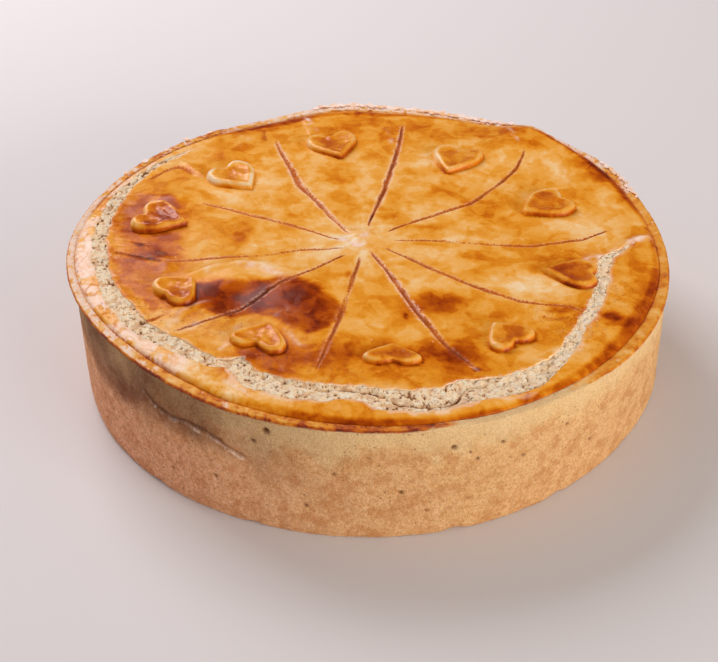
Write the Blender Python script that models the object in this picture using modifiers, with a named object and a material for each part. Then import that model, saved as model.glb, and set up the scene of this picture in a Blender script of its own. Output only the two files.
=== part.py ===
"""A tall round chicken pie: a shortcrust case, filled and solid, under a glazed lid with ten pastry hearts.

Metres, +Z up. The origin is at the middle of the flat underside, and -Y is the pie's front.
Marks on the lid are placed from the star, a point near its middle:
a direction in degrees, anticlockwise from +X, and a distance from the star.
"""

import math

import bmesh
import bpy
import numpy as np
from mathutils import Matrix, Vector, noise

MM = 0.001

# Driving dimensions of the whole pie.
RIM_RADIUS = 120.0 * MM
BASE_RADIUS = 118.3 * MM
WALL_HEIGHT = 52.5 * MM
RIM_TILT = -0.0163  # the rim drops this much for each metre towards +X
LID_DOME = 3.5 * MM
LID_BED = 45.0 * MM  # height of the filled case under the lid
GAP = 0.3 * MM  # between two pieces that touch

# The outline waves: waves round the rim, size, direction of a crest.
RIM_WAVES = ((2, 0.4 * MM, 160), (3, 0.4 * MM, 185), (5, 0.25 * MM, 95), (8, 0.15 * MM, 20))
# Bulges outwards and lifts upwards: direction, spread, size.
RIM_BULGES = ((224, 20, -1.6 * MM), (50, 16, 1.3 * MM), (181, 18, 1.7 * MM))
BASE_BULGES = ((318, 22, -1.3 * MM), (352, 18, 0.9 * MM))
RIM_LIFTS = (
    (97, 10, 2.1 * MM),
    (114, 8, -1.0 * MM),
    (136, 13, 0.8 * MM),
    (52, 6, 3.0 * MM),
    (34, 15, 3.0 * MM),
)

# The ledge is the top of the case's wall, outside the lid's edge.
LEDGE_WIDTH = 3.4 * MM
# It is wider in places: direction, spread, size.
WIDE_LEDGES = ((228, 24, 1.8 * MM), (110, 30, 1.8 * MM), (10, 18, 1.0 * MM), (328, 20, 1.8 * MM))
LEDGE_DROP = 0.9 * MM  # the ledge's inner side under the rim's height
LEDGE_WAVE = 0.4 * MM  # how far it goes up and down
WALL_WAVE = 0.35 * MM  # how far the wall goes in and out
# The ledge juts out over the wall.
LIP_WIDTH = 0.3 * MM
WIDE_LIPS = ((184, 22, 2.2 * MM),)
LIP_SHARE = 0.95  # the lip is above this share of the wall's height

# The star is where directions and distances on the lid are measured from.
# The boss is where the score lines meet.
STAR = (3.0 * MM, 1.0 * MM)
BOSS_PLACE = (-3.1 * MM, 0.5 * MM)
BOSS_RADIUS, BOSS_HEIGHT = 4.8 * MM, 1.2 * MM
# Swells of the lid: x, y, spread, height. The first is where it lifted in the oven.
SWELLS = (
    (76 * MM, 84 * MM, 22 * MM, 2.6 * MM),
    (-53 * MM, -27 * MM, 11 * MM, 1.6 * MM),
    (-25 * MM, -38 * MM, 13 * MM, 1.5 * MM),
    (-51 * MM, -43 * MM, 10 * MM, -1.3 * MM),
    (23 * MM, -48 * MM, 14 * MM, -0.7 * MM),
    (-82 * MM, 32 * MM, 6 * MM, 1.6 * MM),
    (59 * MM, 10 * MM, 18 * MM, -0.6 * MM),
    (-61 * MM, 78 * MM, 12 * MM, 0.8 * MM),
    (89 * MM, -52 * MM, 12 * MM, 0.7 * MM),
)
RIPPLE_SIZE, RIPPLE_LENGTH = 0.5 * MM, 34 * MM

# Score lines: half width and depth of the cut, then points along it, x and y in mm from the star.
SCORE_LINES = (
    (0.9 * MM, 0.8 * MM, ((6, -4), (25, -4), (61, -5.5), (82, 0), (96, 10))),
    (0.9 * MM, 0.9 * MM, ((4, 3), (17, 12), (39, 27), (50, 41), (60, 56), (64, 67), (65, 73))),
    (1.1 * MM, 1.6 * MM, ((-4, 8), (-1, 20), (3, 37), (7, 60), (10, 79), (12, 100))),
    (1.2 * MM, 1.2 * MM, ((-12, 2), (-20, 16), (-26, 28), (-33, 41), (-38, 59), (-43, 74), (-45, 84))),
    (0.8 * MM, 0.6 * MM, ((-11, -4), (-19, -1), (-28, 4), (-48, 14), (-74, 27))),
    (0.8 * MM, 0.7 * MM, ((-13, -9), (-31, -11), (-49, -16), (-86, -18), (-99, -12), (-106, -10))),
    (1.1 * MM, 1.3 * MM, ((-13, -14), (-27, -27), (-38, -35), (-45, -43), (-53, -51), (-77, -65))),
    (1.0 * MM, 1.0 * MM, ((-7, -16), (-11, -37), (-15, -59), (-23, -89))),
    (1.2 * MM, 1.4 * MM, ((-3, -12), (3, -25), (14, -52), (24, -73), (35, -88))),
    (0.9 * MM, 1.0 * MM, ((2, -9), (18, -22), (37, -36), (54, -45), (73, -48), (79, -53))),
)

# The crack round the lid: direction, inner and outer edge from the star in mm, depth in mm.
CRACK = (
    (10, 104, 105, 0.0),
    (60, 102, 103, 0.0),
    (135, 109, 111, 0.0),
    (145, 111, 115, 0.8),
    (160, 112, 118, 1.1),
    (177, 110, 116, 1.3),
    (192, 108, 114, 1.5),
    (204, 106, 114, 1.6),
    (215, 104, 112, 1.7),
    (225, 101, 109, 1.9),
    (234, 101, 106, 1.7),
    (238, 95, 103, 1.5),
    (243, 99, 109, 1.9),
    (256, 98, 112, 2.2),
    (262, 100, 111, 2.0),
    (268, 97, 111, 2.4),
    (280, 99, 111, 2.5),
    (288, 98, 109, 2.4),
    (300, 101, 111, 2.3),
    (307, 100, 107, 2.0),
    (315, 95, 101, 2.2),
    (328, 92, 97, 2.4),
    (340, 90, 95, 2.4),
    (349, 89, 93, 1.8),
    (353, 92, 96, 1.4),
    (357, 97, 100, 0.5),
    (360, 101, 104, 0.0),
)
CRACK_JAG = 1.3 * MM  # how far the torn edges run in and out
CRACK_LIP = 0.5 * MM  # how far the outer edge of the skin curls up
CRACK_LIP_WIDTH = 2.5 * MM
CRACK_DEPTH_SHARE, CRACK_UNEVENNESS = 0.85, 0.6  # the crumb's mean depth and how far it goes up and down
TORN_DEPTH = 1.0 * MM  # where the crack is shallower, the skin isn't torn all through

# Hearts: x, y, direction of the point, width, length, thickness, how open the notch is from 0 to 1.
HEARTS = (
    (-15.8 * MM, 76.2 * MM, -74, 24.0 * MM, 24.5 * MM, 2.8 * MM, 0.8),
    (-58.0 * MM, 47.8 * MM, -52, 23.4 * MM, 24.5 * MM, 3.0 * MM, 0.5),
    (-85.5 * MM, 14.0 * MM, -21, 23.8 * MM, 23.8 * MM, 3.4 * MM, 0.6),
    (-73.8 * MM, -37.5 * MM, 44, 22.5 * MM, 17.0 * MM, 3.4 * MM, 0.0),
    (-40.4 * MM, -68.5 * MM, 68, 24.0 * MM, 17.0 * MM, 2.6 * MM, 0.9),
    (7.6 * MM, -79.0 * MM, 89, 23.3 * MM, 12.0 * MM, 2.2 * MM, 0.5),
    (50.0 * MM, -66.5 * MM, 126, 21.3 * MM, 16.4 * MM, 2.6 * MM, 0.6),
    (78.1 * MM, -25.2 * MM, 176, 20.4 * MM, 22.0 * MM, 2.8 * MM, 0.2),
    (72.5 * MM, 26.5 * MM, -148, 22.2 * MM, 24.3 * MM, 2.8 * MM, 0.4),
    (37.0 * MM, 63.8 * MM, -110, 23.6 * MM, 23.8 * MM, 2.8 * MM, 0.6),
)
HEART_CAGE_POINTS = 16
HEART_BLUNTNESS = 0.25  # 0 is a sharp point
HEART_NOTCH = 0.4  # depth of an open notch, as a share of half the heart's length
HEART_SHOULDER = 0.17  # width of the rounded edge, as a share of the heart's width
CAGE_HEIGHT_SHARE = 0.85  # height of the cage's edge, as a share of the thickness

# Mesh fineness.
LID_SPOKES_BETWEEN_LINES = 15
CASE_SPOKES = 120

# Rings of the lid's top, from the star outwards: share of the way to the edge.
CALM_SHARE = 0.55  # further in, the rings don't bend with the crack
CRACK_INNER_SHARE, CRACK_OUTER_SHARE = 0.86, 0.93
LID_TOP_RINGS = (0.0, 0.03, 0.06, 0.09, 0.15, 0.22, 0.30, 0.38, 0.46, 0.54, 0.62, 0.70, 0.78,
                 0.835, CRACK_INNER_SHARE, 0.867, 0.895, 0.923, CRACK_OUTER_SHARE, 0.947, 0.965)
# The lid's rounded edge: distance in from the edge, drop below the lid's surface.
LID_SHOULDER = ((2.6 * MM, 0.3 * MM), (1.1 * MM, 0.9 * MM), (0.0, 2.1 * MM))

# The case's wall, from the ledge down: distance in from the outline, height as a share of the wall.
CASE_WALL = (
    (1.4 * MM, 0.993),
    (0.35 * MM, 0.982),
    (0.0, 0.96),
    (0.0, 0.93),
    (0.0, 0.80),
    (0.0, 0.55),
    (0.0, 0.30),
    (0.0, 0.10),
    (0.15 * MM, 0.02),
    (0.8 * MM, 0.0),
)


def hump(offset, spread):
    """A smooth hump of height 1 where offset is 0."""
    return math.exp(-((offset / spread) ** 2))


def turn_between(direction, other):
    """The smaller angle between two directions, in degrees."""
    return (direction - other + 180) % 360 - 180


def humps_round_rim(humps, direction):
    """The sum, in that direction, of humps given as direction, spread and size."""
    return sum(size * hump(turn_between(direction, at), spread) for at, spread, size in humps)


def rim_radius(direction):
    """The pie's outline at the rim, from its axis."""
    radius = RIM_RADIUS + humps_round_rim(RIM_BULGES, direction)
    for count, size, crest in RIM_WAVES:
        radius += size * math.cos(math.radians(count * (direction - crest)))
    return radius


def base_radius(direction):
    """The pie's outline at its foot, from its axis."""
    return BASE_RADIUS + humps_round_rim(BASE_BULGES, direction)


def from_star(direction, distance):
    """The point that lies at that direction and distance from the star."""
    turn = math.radians(direction)
    return STAR[0] + distance * math.cos(turn), STAR[1] + distance * math.sin(turn)


def star_to(outline, direction):
    """The distance from the star to an outline round the axis, in that direction."""
    distance = RIM_RADIUS
    for _ in range(4):
        x, y = from_star(direction, distance)
        distance += outline(math.degrees(math.atan2(y, x))) - math.hypot(x, y)
    return distance


def star_to_wall(direction, share):
    """The distance from the star to the wall's outside at that share of its height."""
    rim = star_to(rim_radius, direction)
    if share > LIP_SHARE:
        return rim
    base = star_to(base_radius, direction)
    lip = LIP_WIDTH + humps_round_rim(WIDE_LIPS, direction)
    return base + (rim - lip - base) * share


def ledge_width(direction):
    return LEDGE_WIDTH + humps_round_rim(WIDE_LEDGES, direction)


def lid_edge(direction):
    """The distance from the star to the lid's edge."""
    return star_to(rim_radius, direction) - ledge_width(direction)


def crack_column(number, direction):
    """A column of the crack's table, read between its rows."""
    directions = [row[0] for row in CRACK]
    values = [row[number] for row in CRACK]
    return MM * float(np.interp(direction, directions, values, period=360))


def crack_at(direction):
    """Inner edge, outer edge and depth of the crack in that direction, in metres."""
    inner, outer, depth = (crack_column(number, direction) for number in (1, 2, 3))
    torn = min(depth / TORN_DEPTH, 1.0)
    inner += torn * CRACK_JAG * noise.noise(Vector((direction * 0.31, 0.0, 20.0)))
    outer += torn * CRACK_JAG * noise.noise(Vector((direction * 0.27, 0.0, 30.0)))
    return inner, outer, depth


def line_ends(line):
    """The distances from the star at which a score line starts and ends."""
    points = line[2]
    return math.hypot(*points[0]) * MM, math.hypot(*points[-1]) * MM


def line_direction(line, distance):
    """The direction from the star in which a score line lies at that distance."""
    points = line[2]
    reached = [math.hypot(*point) * MM for point in points]
    x = float(np.interp(distance, reached, [point[0] for point in points]))
    y = float(np.interp(distance, reached, [point[1] for point in points]))
    return math.degrees(math.atan2(y, x))


def rim_height(x, y):
    """The height of the rim at this point; its lifts fade towards the middle of the lid."""
    lift = humps_round_rim(RIM_LIFTS, math.degrees(math.atan2(y, x)))
    return WALL_HEIGHT + RIM_TILT * x + lift * (math.hypot(x, y) / RIM_RADIUS) ** 4


def smooth_lid_height(x, y):
    """The lid's surface without its cuts and cracks."""
    dome = LID_DOME * (1 - (x * x + y * y) / RIM_RADIUS**2)
    swells = sum(height * hump(math.hypot(x - sx, y - sy), spread) for sx, sy, spread, height in SWELLS)
    ripple = RIPPLE_SIZE * noise.noise(Vector((x, y, 0)) / RIPPLE_LENGTH)
    return rim_height(x, y) + dome + swells + ripple


def score_depth(direction, distance):
    """How deep the nearest score line cuts here."""
    depth = 0.0
    for line in SCORE_LINES:
        half_width, line_depth, _ = line
        start, end = line_ends(line)
        if start - half_width <= distance <= end:
            across = abs(distance * math.radians(turn_between(direction, line_direction(line, distance))))
            depth = max(depth, line_depth * (1 - across / half_width))
    return depth


def crack_depth(direction, distance):
    """How far the crumb lies under the skin, whose torn edges stand a little over it."""
    inner, outer, depth = crack_at(direction)
    across = (distance - inner) / max(outer - inner, GAP)
    if 0.02 < across < 0.98:
        unevenness = noise.noise(Vector((direction * 0.35, across * 3.0, 5.0)))
        return depth * (CRACK_DEPTH_SHARE + CRACK_UNEVENNESS * unevenness)
    torn = min(depth / TORN_DEPTH, 1.0)
    edges = max(hump(distance - outer, CRACK_LIP_WIDTH), 0.5 * hump(distance - inner, CRACK_LIP_WIDTH))
    return -torn * CRACK_LIP * edges


def lid_height(direction, distance):
    x, y = from_star(direction, distance)
    boss = BOSS_HEIGHT * hump(math.hypot(x - BOSS_PLACE[0], y - BOSS_PLACE[1]), BOSS_RADIUS)
    cut = score_depth(direction, distance) + crack_depth(direction, distance)
    return smooth_lid_height(x, y) + boss - cut


def turned_solid(name, profile, spokes):
    """A closed solid of revolution: the profile runs from the axis at the top, out and down, to the axis."""
    mesh = bpy.data.meshes.new(name)
    obj = bpy.data.objects.new(name, mesh)
    bpy.context.scene.collection.objects.link(obj)
    outline = bmesh.new()
    points = [outline.verts.new((radius, 0.0, height)) for radius, height in profile]
    for start, end in zip(points, points[1:]):
        outline.edges.new((start, end))
    outline.to_mesh(mesh)
    outline.free()
    screw = obj.modifiers.new("turn", "SCREW")
    screw.axis = "Z"
    screw.steps = screw.render_steps = spokes
    screw.use_merge_vertices = True
    screw.merge_threshold = 0.0001
    screw.use_smooth_shade = False
    return baked(obj)


def baked(obj):
    """The object with its modifiers applied."""
    bpy.context.view_layer.update()
    evaluated = obj.evaluated_get(bpy.context.evaluated_depsgraph_get())
    mesh = bpy.data.meshes.new_from_object(evaluated)
    obj.modifiers.clear()
    obj.data = mesh
    return obj


def pastry(name, colour, roughness):
    material = bpy.data.materials.new(name)
    material.use_nodes = True
    shader = material.node_tree.nodes["Principled BSDF"]
    shader.inputs["Base Color"].default_value = (*colour, 1.0)
    shader.inputs["Roughness"].default_value = roughness
    shader.inputs["Metallic"].default_value = 0.0
    return material


def smooth(obj, sharp_degrees):
    obj.data.shade_smooth()
    obj.data.set_sharp_from_angle(angle=math.radians(sharp_degrees))


def lid_share_to_distance(share, direction):
    """Rings bunch at the crack: the distance from the star of a ring's share of the way to the edge."""
    inner, outer, _ = crack_at(direction)
    edge = lid_edge(direction)
    shares = (0.0, CALM_SHARE, CRACK_INNER_SHARE, CRACK_OUTER_SHARE, 1.0)
    return float(np.interp(share, shares, (0.0, CALM_SHARE * edge, inner, outer, edge)))


def spoke_direction(turn, distance):
    """Bends the lid's even spokes: one follows each score line, and its neighbours follow the cut's edges."""
    sector = turn / LID_SPOKES_BETWEEN_LINES
    first = int(sector) % len(SCORE_LINES)
    second = (first + 1) % len(SCORE_LINES)
    step = (sector - int(sector)) * LID_SPOKES_BETWEEN_LINES
    start = line_direction(SCORE_LINES[first], distance)
    span = (line_direction(SCORE_LINES[second], distance) - start) % 360
    lip_a = min(math.degrees(SCORE_LINES[first][0] / max(distance, MM)), span / 6)
    lip_b = min(math.degrees(SCORE_LINES[second][0] / max(distance, MM)), span / 6)
    last = LID_SPOKES_BETWEEN_LINES
    return start + float(np.interp(step, (0, 1, last - 1, last), (0, lip_a, span - lip_b, span)))


def on_spoke(turn, share):
    """The direction and distance from the star of a ring's point on a bent spoke."""
    distance = share * RIM_RADIUS
    for _ in range(4):
        direction = spoke_direction(turn, distance)
        distance = lid_share_to_distance(share, direction)
    return direction, distance


def make_lid(material):
    """The pastry disc: turned as a flat disc, then its spokes and rings follow the cuts and the crack."""
    spokes = LID_SPOKES_BETWEEN_LINES * len(SCORE_LINES)
    top = WALL_HEIGHT
    bottom = LID_BED + GAP
    profile = [(share, top) for share in LID_TOP_RINGS]
    profile += [(1 - inset / RIM_RADIUS, top - drop) for inset, drop in LID_SHOULDER]
    profile += [(1.0, bottom), (0.0, bottom)]
    lid = turned_solid("lid", profile, spokes)
    for vertex in lid.data.vertices:
        share = math.hypot(vertex.co.x, vertex.co.y)
        turn = math.atan2(vertex.co.y, vertex.co.x) / math.tau * spokes % spokes
        turn = round(turn) % spokes
        direction, distance = on_spoke(turn, share)
        x, y = from_star(direction, distance)
        drop = top - vertex.co.z
        height = vertex.co.z
        if vertex.co.z > bottom + MM:
            height = lid_height(direction, distance) - drop
        vertex.co = (x, y, height)
    lid.data.materials.append(material)
    smooth(lid, 40)
    return lid


def make_case(material):
    """The case: base, wall and ledge, with the filling as part of the solid and a bed for the lid."""
    profile = [(0.0, LID_BED), (1.0, LID_BED), (1.0, WALL_HEIGHT - LEDGE_DROP)]
    profile += [(2.0 - inset / RIM_RADIUS, share * WALL_HEIGHT) for inset, share in CASE_WALL]
    profile += [(0.0, 0.0)]
    case = turned_solid("crust_case", profile, CASE_SPOKES)
    for vertex in case.data.vertices:
        part = math.hypot(vertex.co.x, vertex.co.y)
        direction = math.degrees(math.atan2(vertex.co.y, vertex.co.x))
        share = vertex.co.z / WALL_HEIGHT
        if part < 1.5:
            distance = part * (lid_edge(direction) + GAP)
        else:
            unevenness = WALL_WAVE * noise.noise(Vector((direction * 0.06, share * 2.0, 2.0)))
            distance = star_to_wall(direction, share) - (2.0 - part) * RIM_RADIUS + unevenness
        x, y = from_star(direction, distance)
        height = vertex.co.z
        if height > LID_BED:
            height += (rim_height(x, y) - WALL_HEIGHT) * (height - LID_BED) / (WALL_HEIGHT - LID_BED)
            height += LEDGE_WAVE * noise.noise(Vector((direction * 0.11, 0.0, 9.0)))
        vertex.co = (x, y, height)
    case.data.materials.append(material)
    smooth(case, 50)
    return case


def heart_outline(count, notch):
    """Points round a heart one unit wide and one unit long, its point towards +X and clockwise."""
    points = []
    for step in range(count):
        t = math.tau * step / count
        across = (1 - HEART_BLUNTNESS) * math.sin(t) ** 3 + HEART_BLUNTNESS * math.sin(t)
        along = (13 * math.cos(t) - 5 * math.cos(2 * t) - 2 * math.cos(3 * t) - math.cos(4 * t)) / 16
        along += (1 - notch) * HEART_NOTCH * max(math.cos(t), 0.0) ** 3
        points.append((along, across))
    low = min(p[0] for p in points)
    high = max(p[0] for p in points)
    return [((high + low - 2 * along) / (2 * (high - low)), across / 2) for along, across in points]


def make_heart(name, x, y, direction, width, length, thickness, notch, material):
    """A puffy heart: a cage of its outline, inset on top, rounded by subdivision and set down on the lid."""
    body = bmesh.new()
    outline = [(along * length, across * width) for along, across in heart_outline(HEART_CAGE_POINTS, notch)]
    bmesh.ops.create_circle(body, cap_ends=True, segments=HEART_CAGE_POINTS, radius=length / 2)
    for vertex, (along, across) in zip(body.verts, outline):
        vertex.co = (along, across, 0.0)
    raised = bmesh.ops.extrude_face_region(body, geom=body.faces[:], use_keep_orig=True)
    top_face = [item for item in raised["geom"] if isinstance(item, bmesh.types.BMFace)][0]
    bmesh.ops.translate(body, verts=list(top_face.verts), vec=(0, 0, thickness * CAGE_HEIGHT_SHARE))
    bmesh.ops.inset_region(body, faces=[top_face], thickness=HEART_SHOULDER * width, depth=0.0)
    bmesh.ops.translate(body, verts=list(top_face.verts), vec=(0, 0, thickness * (1 - CAGE_HEIGHT_SHARE)))
    bmesh.ops.recalc_face_normals(body, faces=body.faces[:])
    crease = body.edges.layers.float.new("crease_edge")
    for edge in body.edges:
        edge[crease] = 1.0 if all(vertex.co.z == 0.0 for vertex in edge.verts) else 0.0
    mesh = bpy.data.meshes.new(name)
    body.to_mesh(mesh)
    body.free()
    heart = bpy.data.objects.new(name, mesh)
    bpy.context.scene.collection.objects.link(heart)
    rounding = heart.modifiers.new("rounding", "SUBSURF")
    rounding.levels = rounding.render_levels = 1
    baked(heart)
    heart.data.transform(Matrix.Translation((x, y, 0)) @ Matrix.Rotation(math.radians(direction), 4, "Z"))
    for vertex in heart.data.vertices:
        vertex.co.z += smooth_lid_height(vertex.co.x, vertex.co.y) + GAP
    heart.data.materials.append(material)
    smooth(heart, 60)
    return heart


def main():
    for obj in list(bpy.data.objects):
        bpy.data.objects.remove(obj)
    crust = pastry("baked_crust", (0.62, 0.40, 0.19), 0.85)
    glaze = pastry("glazed_lid", (0.66, 0.33, 0.09), 0.35)
    browned = pastry("glazed_heart", (0.60, 0.27, 0.06), 0.33)
    pieces = [make_case(crust), make_lid(glaze)]
    for number, heart in enumerate(HEARTS, start=1):
        pieces.append(make_heart("heart_%02d" % number, *heart, browned))
    pie = bpy.data.collections.new("chicken_pie")
    bpy.context.scene.collection.children.link(pie)
    for piece in pieces:
        pie.objects.link(piece)
        bpy.context.scene.collection.objects.unlink(piece)


main()
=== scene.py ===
"""The looks of a tall round chicken pie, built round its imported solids.

Metres, +Z up, in the solids' own frame: the origin is at the middle of the flat underside, and -Y is the
front. The tables are in mm and degrees, and so are the sizes of noise. Directions run anticlockwise from +X.
Marks on the lid are placed from the pie's axis, or from the star, a point near the middle of the lid.
"""

import itertools
import math

import bmesh
import bpy
import numpy as np
from mathutils import Matrix, Vector, noise


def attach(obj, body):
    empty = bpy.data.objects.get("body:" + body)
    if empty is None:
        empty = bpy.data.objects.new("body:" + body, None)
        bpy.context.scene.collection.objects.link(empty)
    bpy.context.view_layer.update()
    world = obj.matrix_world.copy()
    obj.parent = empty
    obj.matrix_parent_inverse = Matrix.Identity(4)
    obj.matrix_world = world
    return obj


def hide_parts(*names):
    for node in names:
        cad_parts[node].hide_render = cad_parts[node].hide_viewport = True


MM = 0.001

# The pie's driving dimensions, the same as those of the solids.
RIM_RADIUS = 120.0 * MM
BASE_RADIUS = 118.3 * MM
WALL_HEIGHT = 52.5 * MM
RIM_TILT = -0.0163
LID_DOME = 3.5 * MM
LID_BED = 45.0 * MM
LID_FOOT = LID_BED + 0.3 * MM  # the lid stops just over its bed
# Waves round the rim: how many, size, direction of a crest.
RIM_WAVES = ((2, 0.4, 160), (3, 0.4, 185), (5, 0.25, 95), (8, 0.15, 20))
# Humps round the pie: direction, spread, size.
RIM_BULGES = ((224, 20, -1.6), (50, 16, 1.3), (181, 18, 1.7))
BASE_BULGES = ((318, 22, -1.3), (352, 18, 0.9))
RIM_LIFTS = ((97, 10, 2.1), (114, 8, -1), (136, 13, 0.8), (52, 6, 3), (34, 15, 3))
LEDGE_WIDTH = 3.4 * MM
WIDE_LEDGES = ((228, 24, 1.8), (110, 30, 1.8), (10, 18, 1), (328, 20, 1.8))
LIP_WIDTH = 0.3 * MM
WIDE_LIPS = ((184, 22, 2.2),)
STAR = (3.0 * MM, 1.0 * MM)
BOSS_PLACE = (-3.1 * MM, 0.5 * MM)
BOSS_RADIUS, BOSS_HEIGHT = 4.8 * MM, 1.2 * MM
# Swells of the lid: x, y, spread, height.
SWELLS = (
    (76, 84, 22, 2.6), (-53, -27, 11, 1.6), (-25, -38, 13, 1.5), (-51, -43, 10, -1.3), (23, -48, 14, -0.7),
    (-82, 32, 6, 1.6), (59, 10, 18, -0.6), (-61, 78, 12, 0.8), (89, -52, 12, 0.7),
)
RIPPLE_SIZE, RIPPLE_LENGTH = 0.5 * MM, 34 * MM

# Score lines: half width, depth, how brown the cut is, then points from the star.
SCORE_LINES = (
    (0.85, 0.34, 0.84, ((6, -4), (25, -4), (61, -5.5), (82, 0), (96, 10))),
    (0.95, 0.42, 0.92, ((4, 3), (17, 12), (39, 27), (50, 41), (60, 56), (64, 67), (65, 73))),
    (1.05, 0.8, 1, ((-4, 8), (-1, 20), (3, 37), (7, 60), (10, 79), (12, 100))),
    (1.25, 0.6, 0.85, ((-12, 2), (-20, 16), (-26, 28), (-33, 41), (-38, 59), (-43, 74), (-45, 84))),
    (0.85, 0.32, 0.8, ((-11, -4), (-19, -1), (-28, 4), (-48, 14), (-74, 27))),
    (0.85, 0.32, 0.86, ((-13, -9), (-31, -11), (-49, -16), (-86, -18), (-99, -12), (-106, -10))),
    (1, 0.5, 0.95, ((-13, -14), (-27, -27), (-38, -35), (-45, -43), (-53, -51), (-77, -65))),
    (0.95, 0.45, 0.95, ((-7, -16), (-11, -37), (-15, -59), (-23, -89))),
    (1.1, 0.7, 1, ((-3, -12), (3, -25), (14, -52), (24, -73), (35, -88))),
    (0.95, 0.4, 0.9, ((2, -9), (18, -22), (37, -36), (54, -45), (73, -48), (79, -53))),
)
# Where a cut has nearly closed again: x, y and spread.
CLOSED_PLACES = ((-11.5, -42, 9), (-42, -15, 14), (40, 1, 12))
# Where the painted glints along a cut's lips fade out: x, y and spread.
BROWNED_LIPS = (30, -78, 17)
CUT_LIP = 0.16 * MM  # the raised edges of a cut

# The crack round the lid: direction, inner and outer edge from the star, depth.
CRACK = (
    (10, 104, 105, 0), (60, 102, 103, 0), (135, 109, 111, 0), (145, 111, 115, 0.8), (160, 112, 118, 1.1),
    (177, 110, 116, 1.3), (192, 108, 114, 1.5), (204, 106, 114, 1.6), (215, 104, 112, 1.7),
    (225, 101, 109, 1.9), (234, 101, 106, 1.7), (238, 95, 103, 1.5), (243, 99, 109, 1.9),
    (253, 99.5, 110, 2.1), (258.5, 99, 108.5, 2), (261.5, 98.7, 106, 2), (264.5, 97.2, 105.8, 2.2),
    (267, 98.3, 107.5, 2.3), (270, 99, 111, 2.4), (276, 100, 112.3, 2.5), (282, 100.5, 112.7, 2.5),
    (287, 98.5, 110.7, 2.4), (291, 99.5, 111.5, 2.4), (297, 101.5, 113.2, 2.2), (303, 101.5, 111.5, 2.1),
    (307.5, 101, 108, 2.1), (315, 97.5, 103, 2), (323, 93.8, 98.8, 2), (331, 92, 97, 1.8),
    (338, 90.5, 95.8, 1.6), (344, 89, 94.5, 1.5), (349, 88, 93.5, 1.3), (352.5, 90, 94.5, 1.2),
    (357, 97, 100, 0.5), (360, 101, 104, 0),
)
CRACK_JAG = 1.2 * MM
CRACK_LIP = 0.22 * MM

# The lid's edge: direction, how much browner it is, how wide that band is,
# how wide the floury border by the crack is, and how floury.
RIM_LOOKS = (
    (10, 0.2, 2.4, 0, 0.1), (32, 0.26, 4, 0, 0), (50, 0.22, 4, 0, 0), (64, 0.12, 2.5, 0, 0),
    (76, 0.24, 5, 0, 0), (88, 0.26, 7, 0, 0), (112, 0.24, 7, 0, 0), (126, 0.22, 5, 0, 0),
    (136, 0.14, 2, 2, 0.4), (150, 0.1, 1, 5, 0.8), (175, 0.14, 0.7, 8, 0.9), (205, 0.18, 0.7, 9, 0.9),
    (232, 0.22, 0.9, 8, 0.7), (243, 0.16, 1.4, 4.5, 0.5), (250, 0.22, 3, 1.6, 0.5),
    (262, 0.34, 2.2, 1, 0.35), (280, 0.36, 1.9, 1.7, 0.6), (293, 0.28, 2, 1.2, 0.4),
    (306, 0.22, 3.4, 0.5, 0.15), (318, 0.26, 4, 1, 0.4), (335, 0.3, 5, 0.8, 0.4), (350, 0.24, 3, 0.8, 0.4),
)

# How the lid's edge rounds down: direction, share of the drop and of the width below.
SHOULDER_SHARES = (
    (10, 0.45, 0.6), (40, 0.7, 0.8), (60, 0.9, 1), (100, 1.1, 1.1), (125, 0.8, 0.8), (150, 0.45, 0.5),
    (185, 0.3, 0.4), (215, 0.34, 0.4), (240, 0.5, 0.6), (256, 0.9, 1), (285, 0.95, 1.1), (298, 0.55, 1.2),
    (318, 0.5, 1.2), (335, 0.6, 1), (350, 0.5, 0.7),
)
# The shoulder: distance in from the lid's edge, and drop.
SHOULDER = (
    (3.2, 0.12), (2.5, 0.3), (1.9, 0.55), (1.35, 0.9), (0.9, 1.3), (0.5, 1.75), (0.2, 2.25), (0, 3.2),
)

# The crumb in the crack: direction, drop at the inner edge, at the fissure and at the outer edge.
CRUMB_DROPS = (
    (135, 0.3, 0.5, 0.3), (160, 0.4, 0.7, 0.3), (190, 0.4, 0.4, 0.1), (225, 0.4, 0.5, 0.2),
    (243, 0.4, 0.8, 0.2), (254, 0.2, 1, 0.2), (262, 0.2, 1.5, 0.2), (285, 0.2, 1.6, 0.3),
    (292, 0.2, 1, 0.3), (305, 0.2, 0.8, 0.3), (314, 0.2, 0.6, 0.2), (330, 0, 0.3, 0), (345, 0, 0.3, 0),
    (357, 0.2, 0.5, 0.2), (365, 0.2, 0.3, 0.2),
)
# Where the fissure in the crumb runs: direction, distance from the star.
FISSURE = (
    (145, 113), (160, 115), (177, 112.5), (205, 109), (232, 103), (240, 101), (253, 101), (258, 102),
    (261, 100), (264, 99.5), (267, 100.5), (270, 101.5), (273.5, 106.5), (277.5, 109.3), (282.5, 110),
    (284.5, 107.8), (286, 104.5), (288, 102), (292, 103.5), (298.5, 107.5), (307.5, 103.5), (315, 98.8),
    (323, 95.5), (331, 93.8), (340, 92), (349, 89.5), (357, 98),
)
FISSURE_WIDTH = 0.55 * MM

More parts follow.
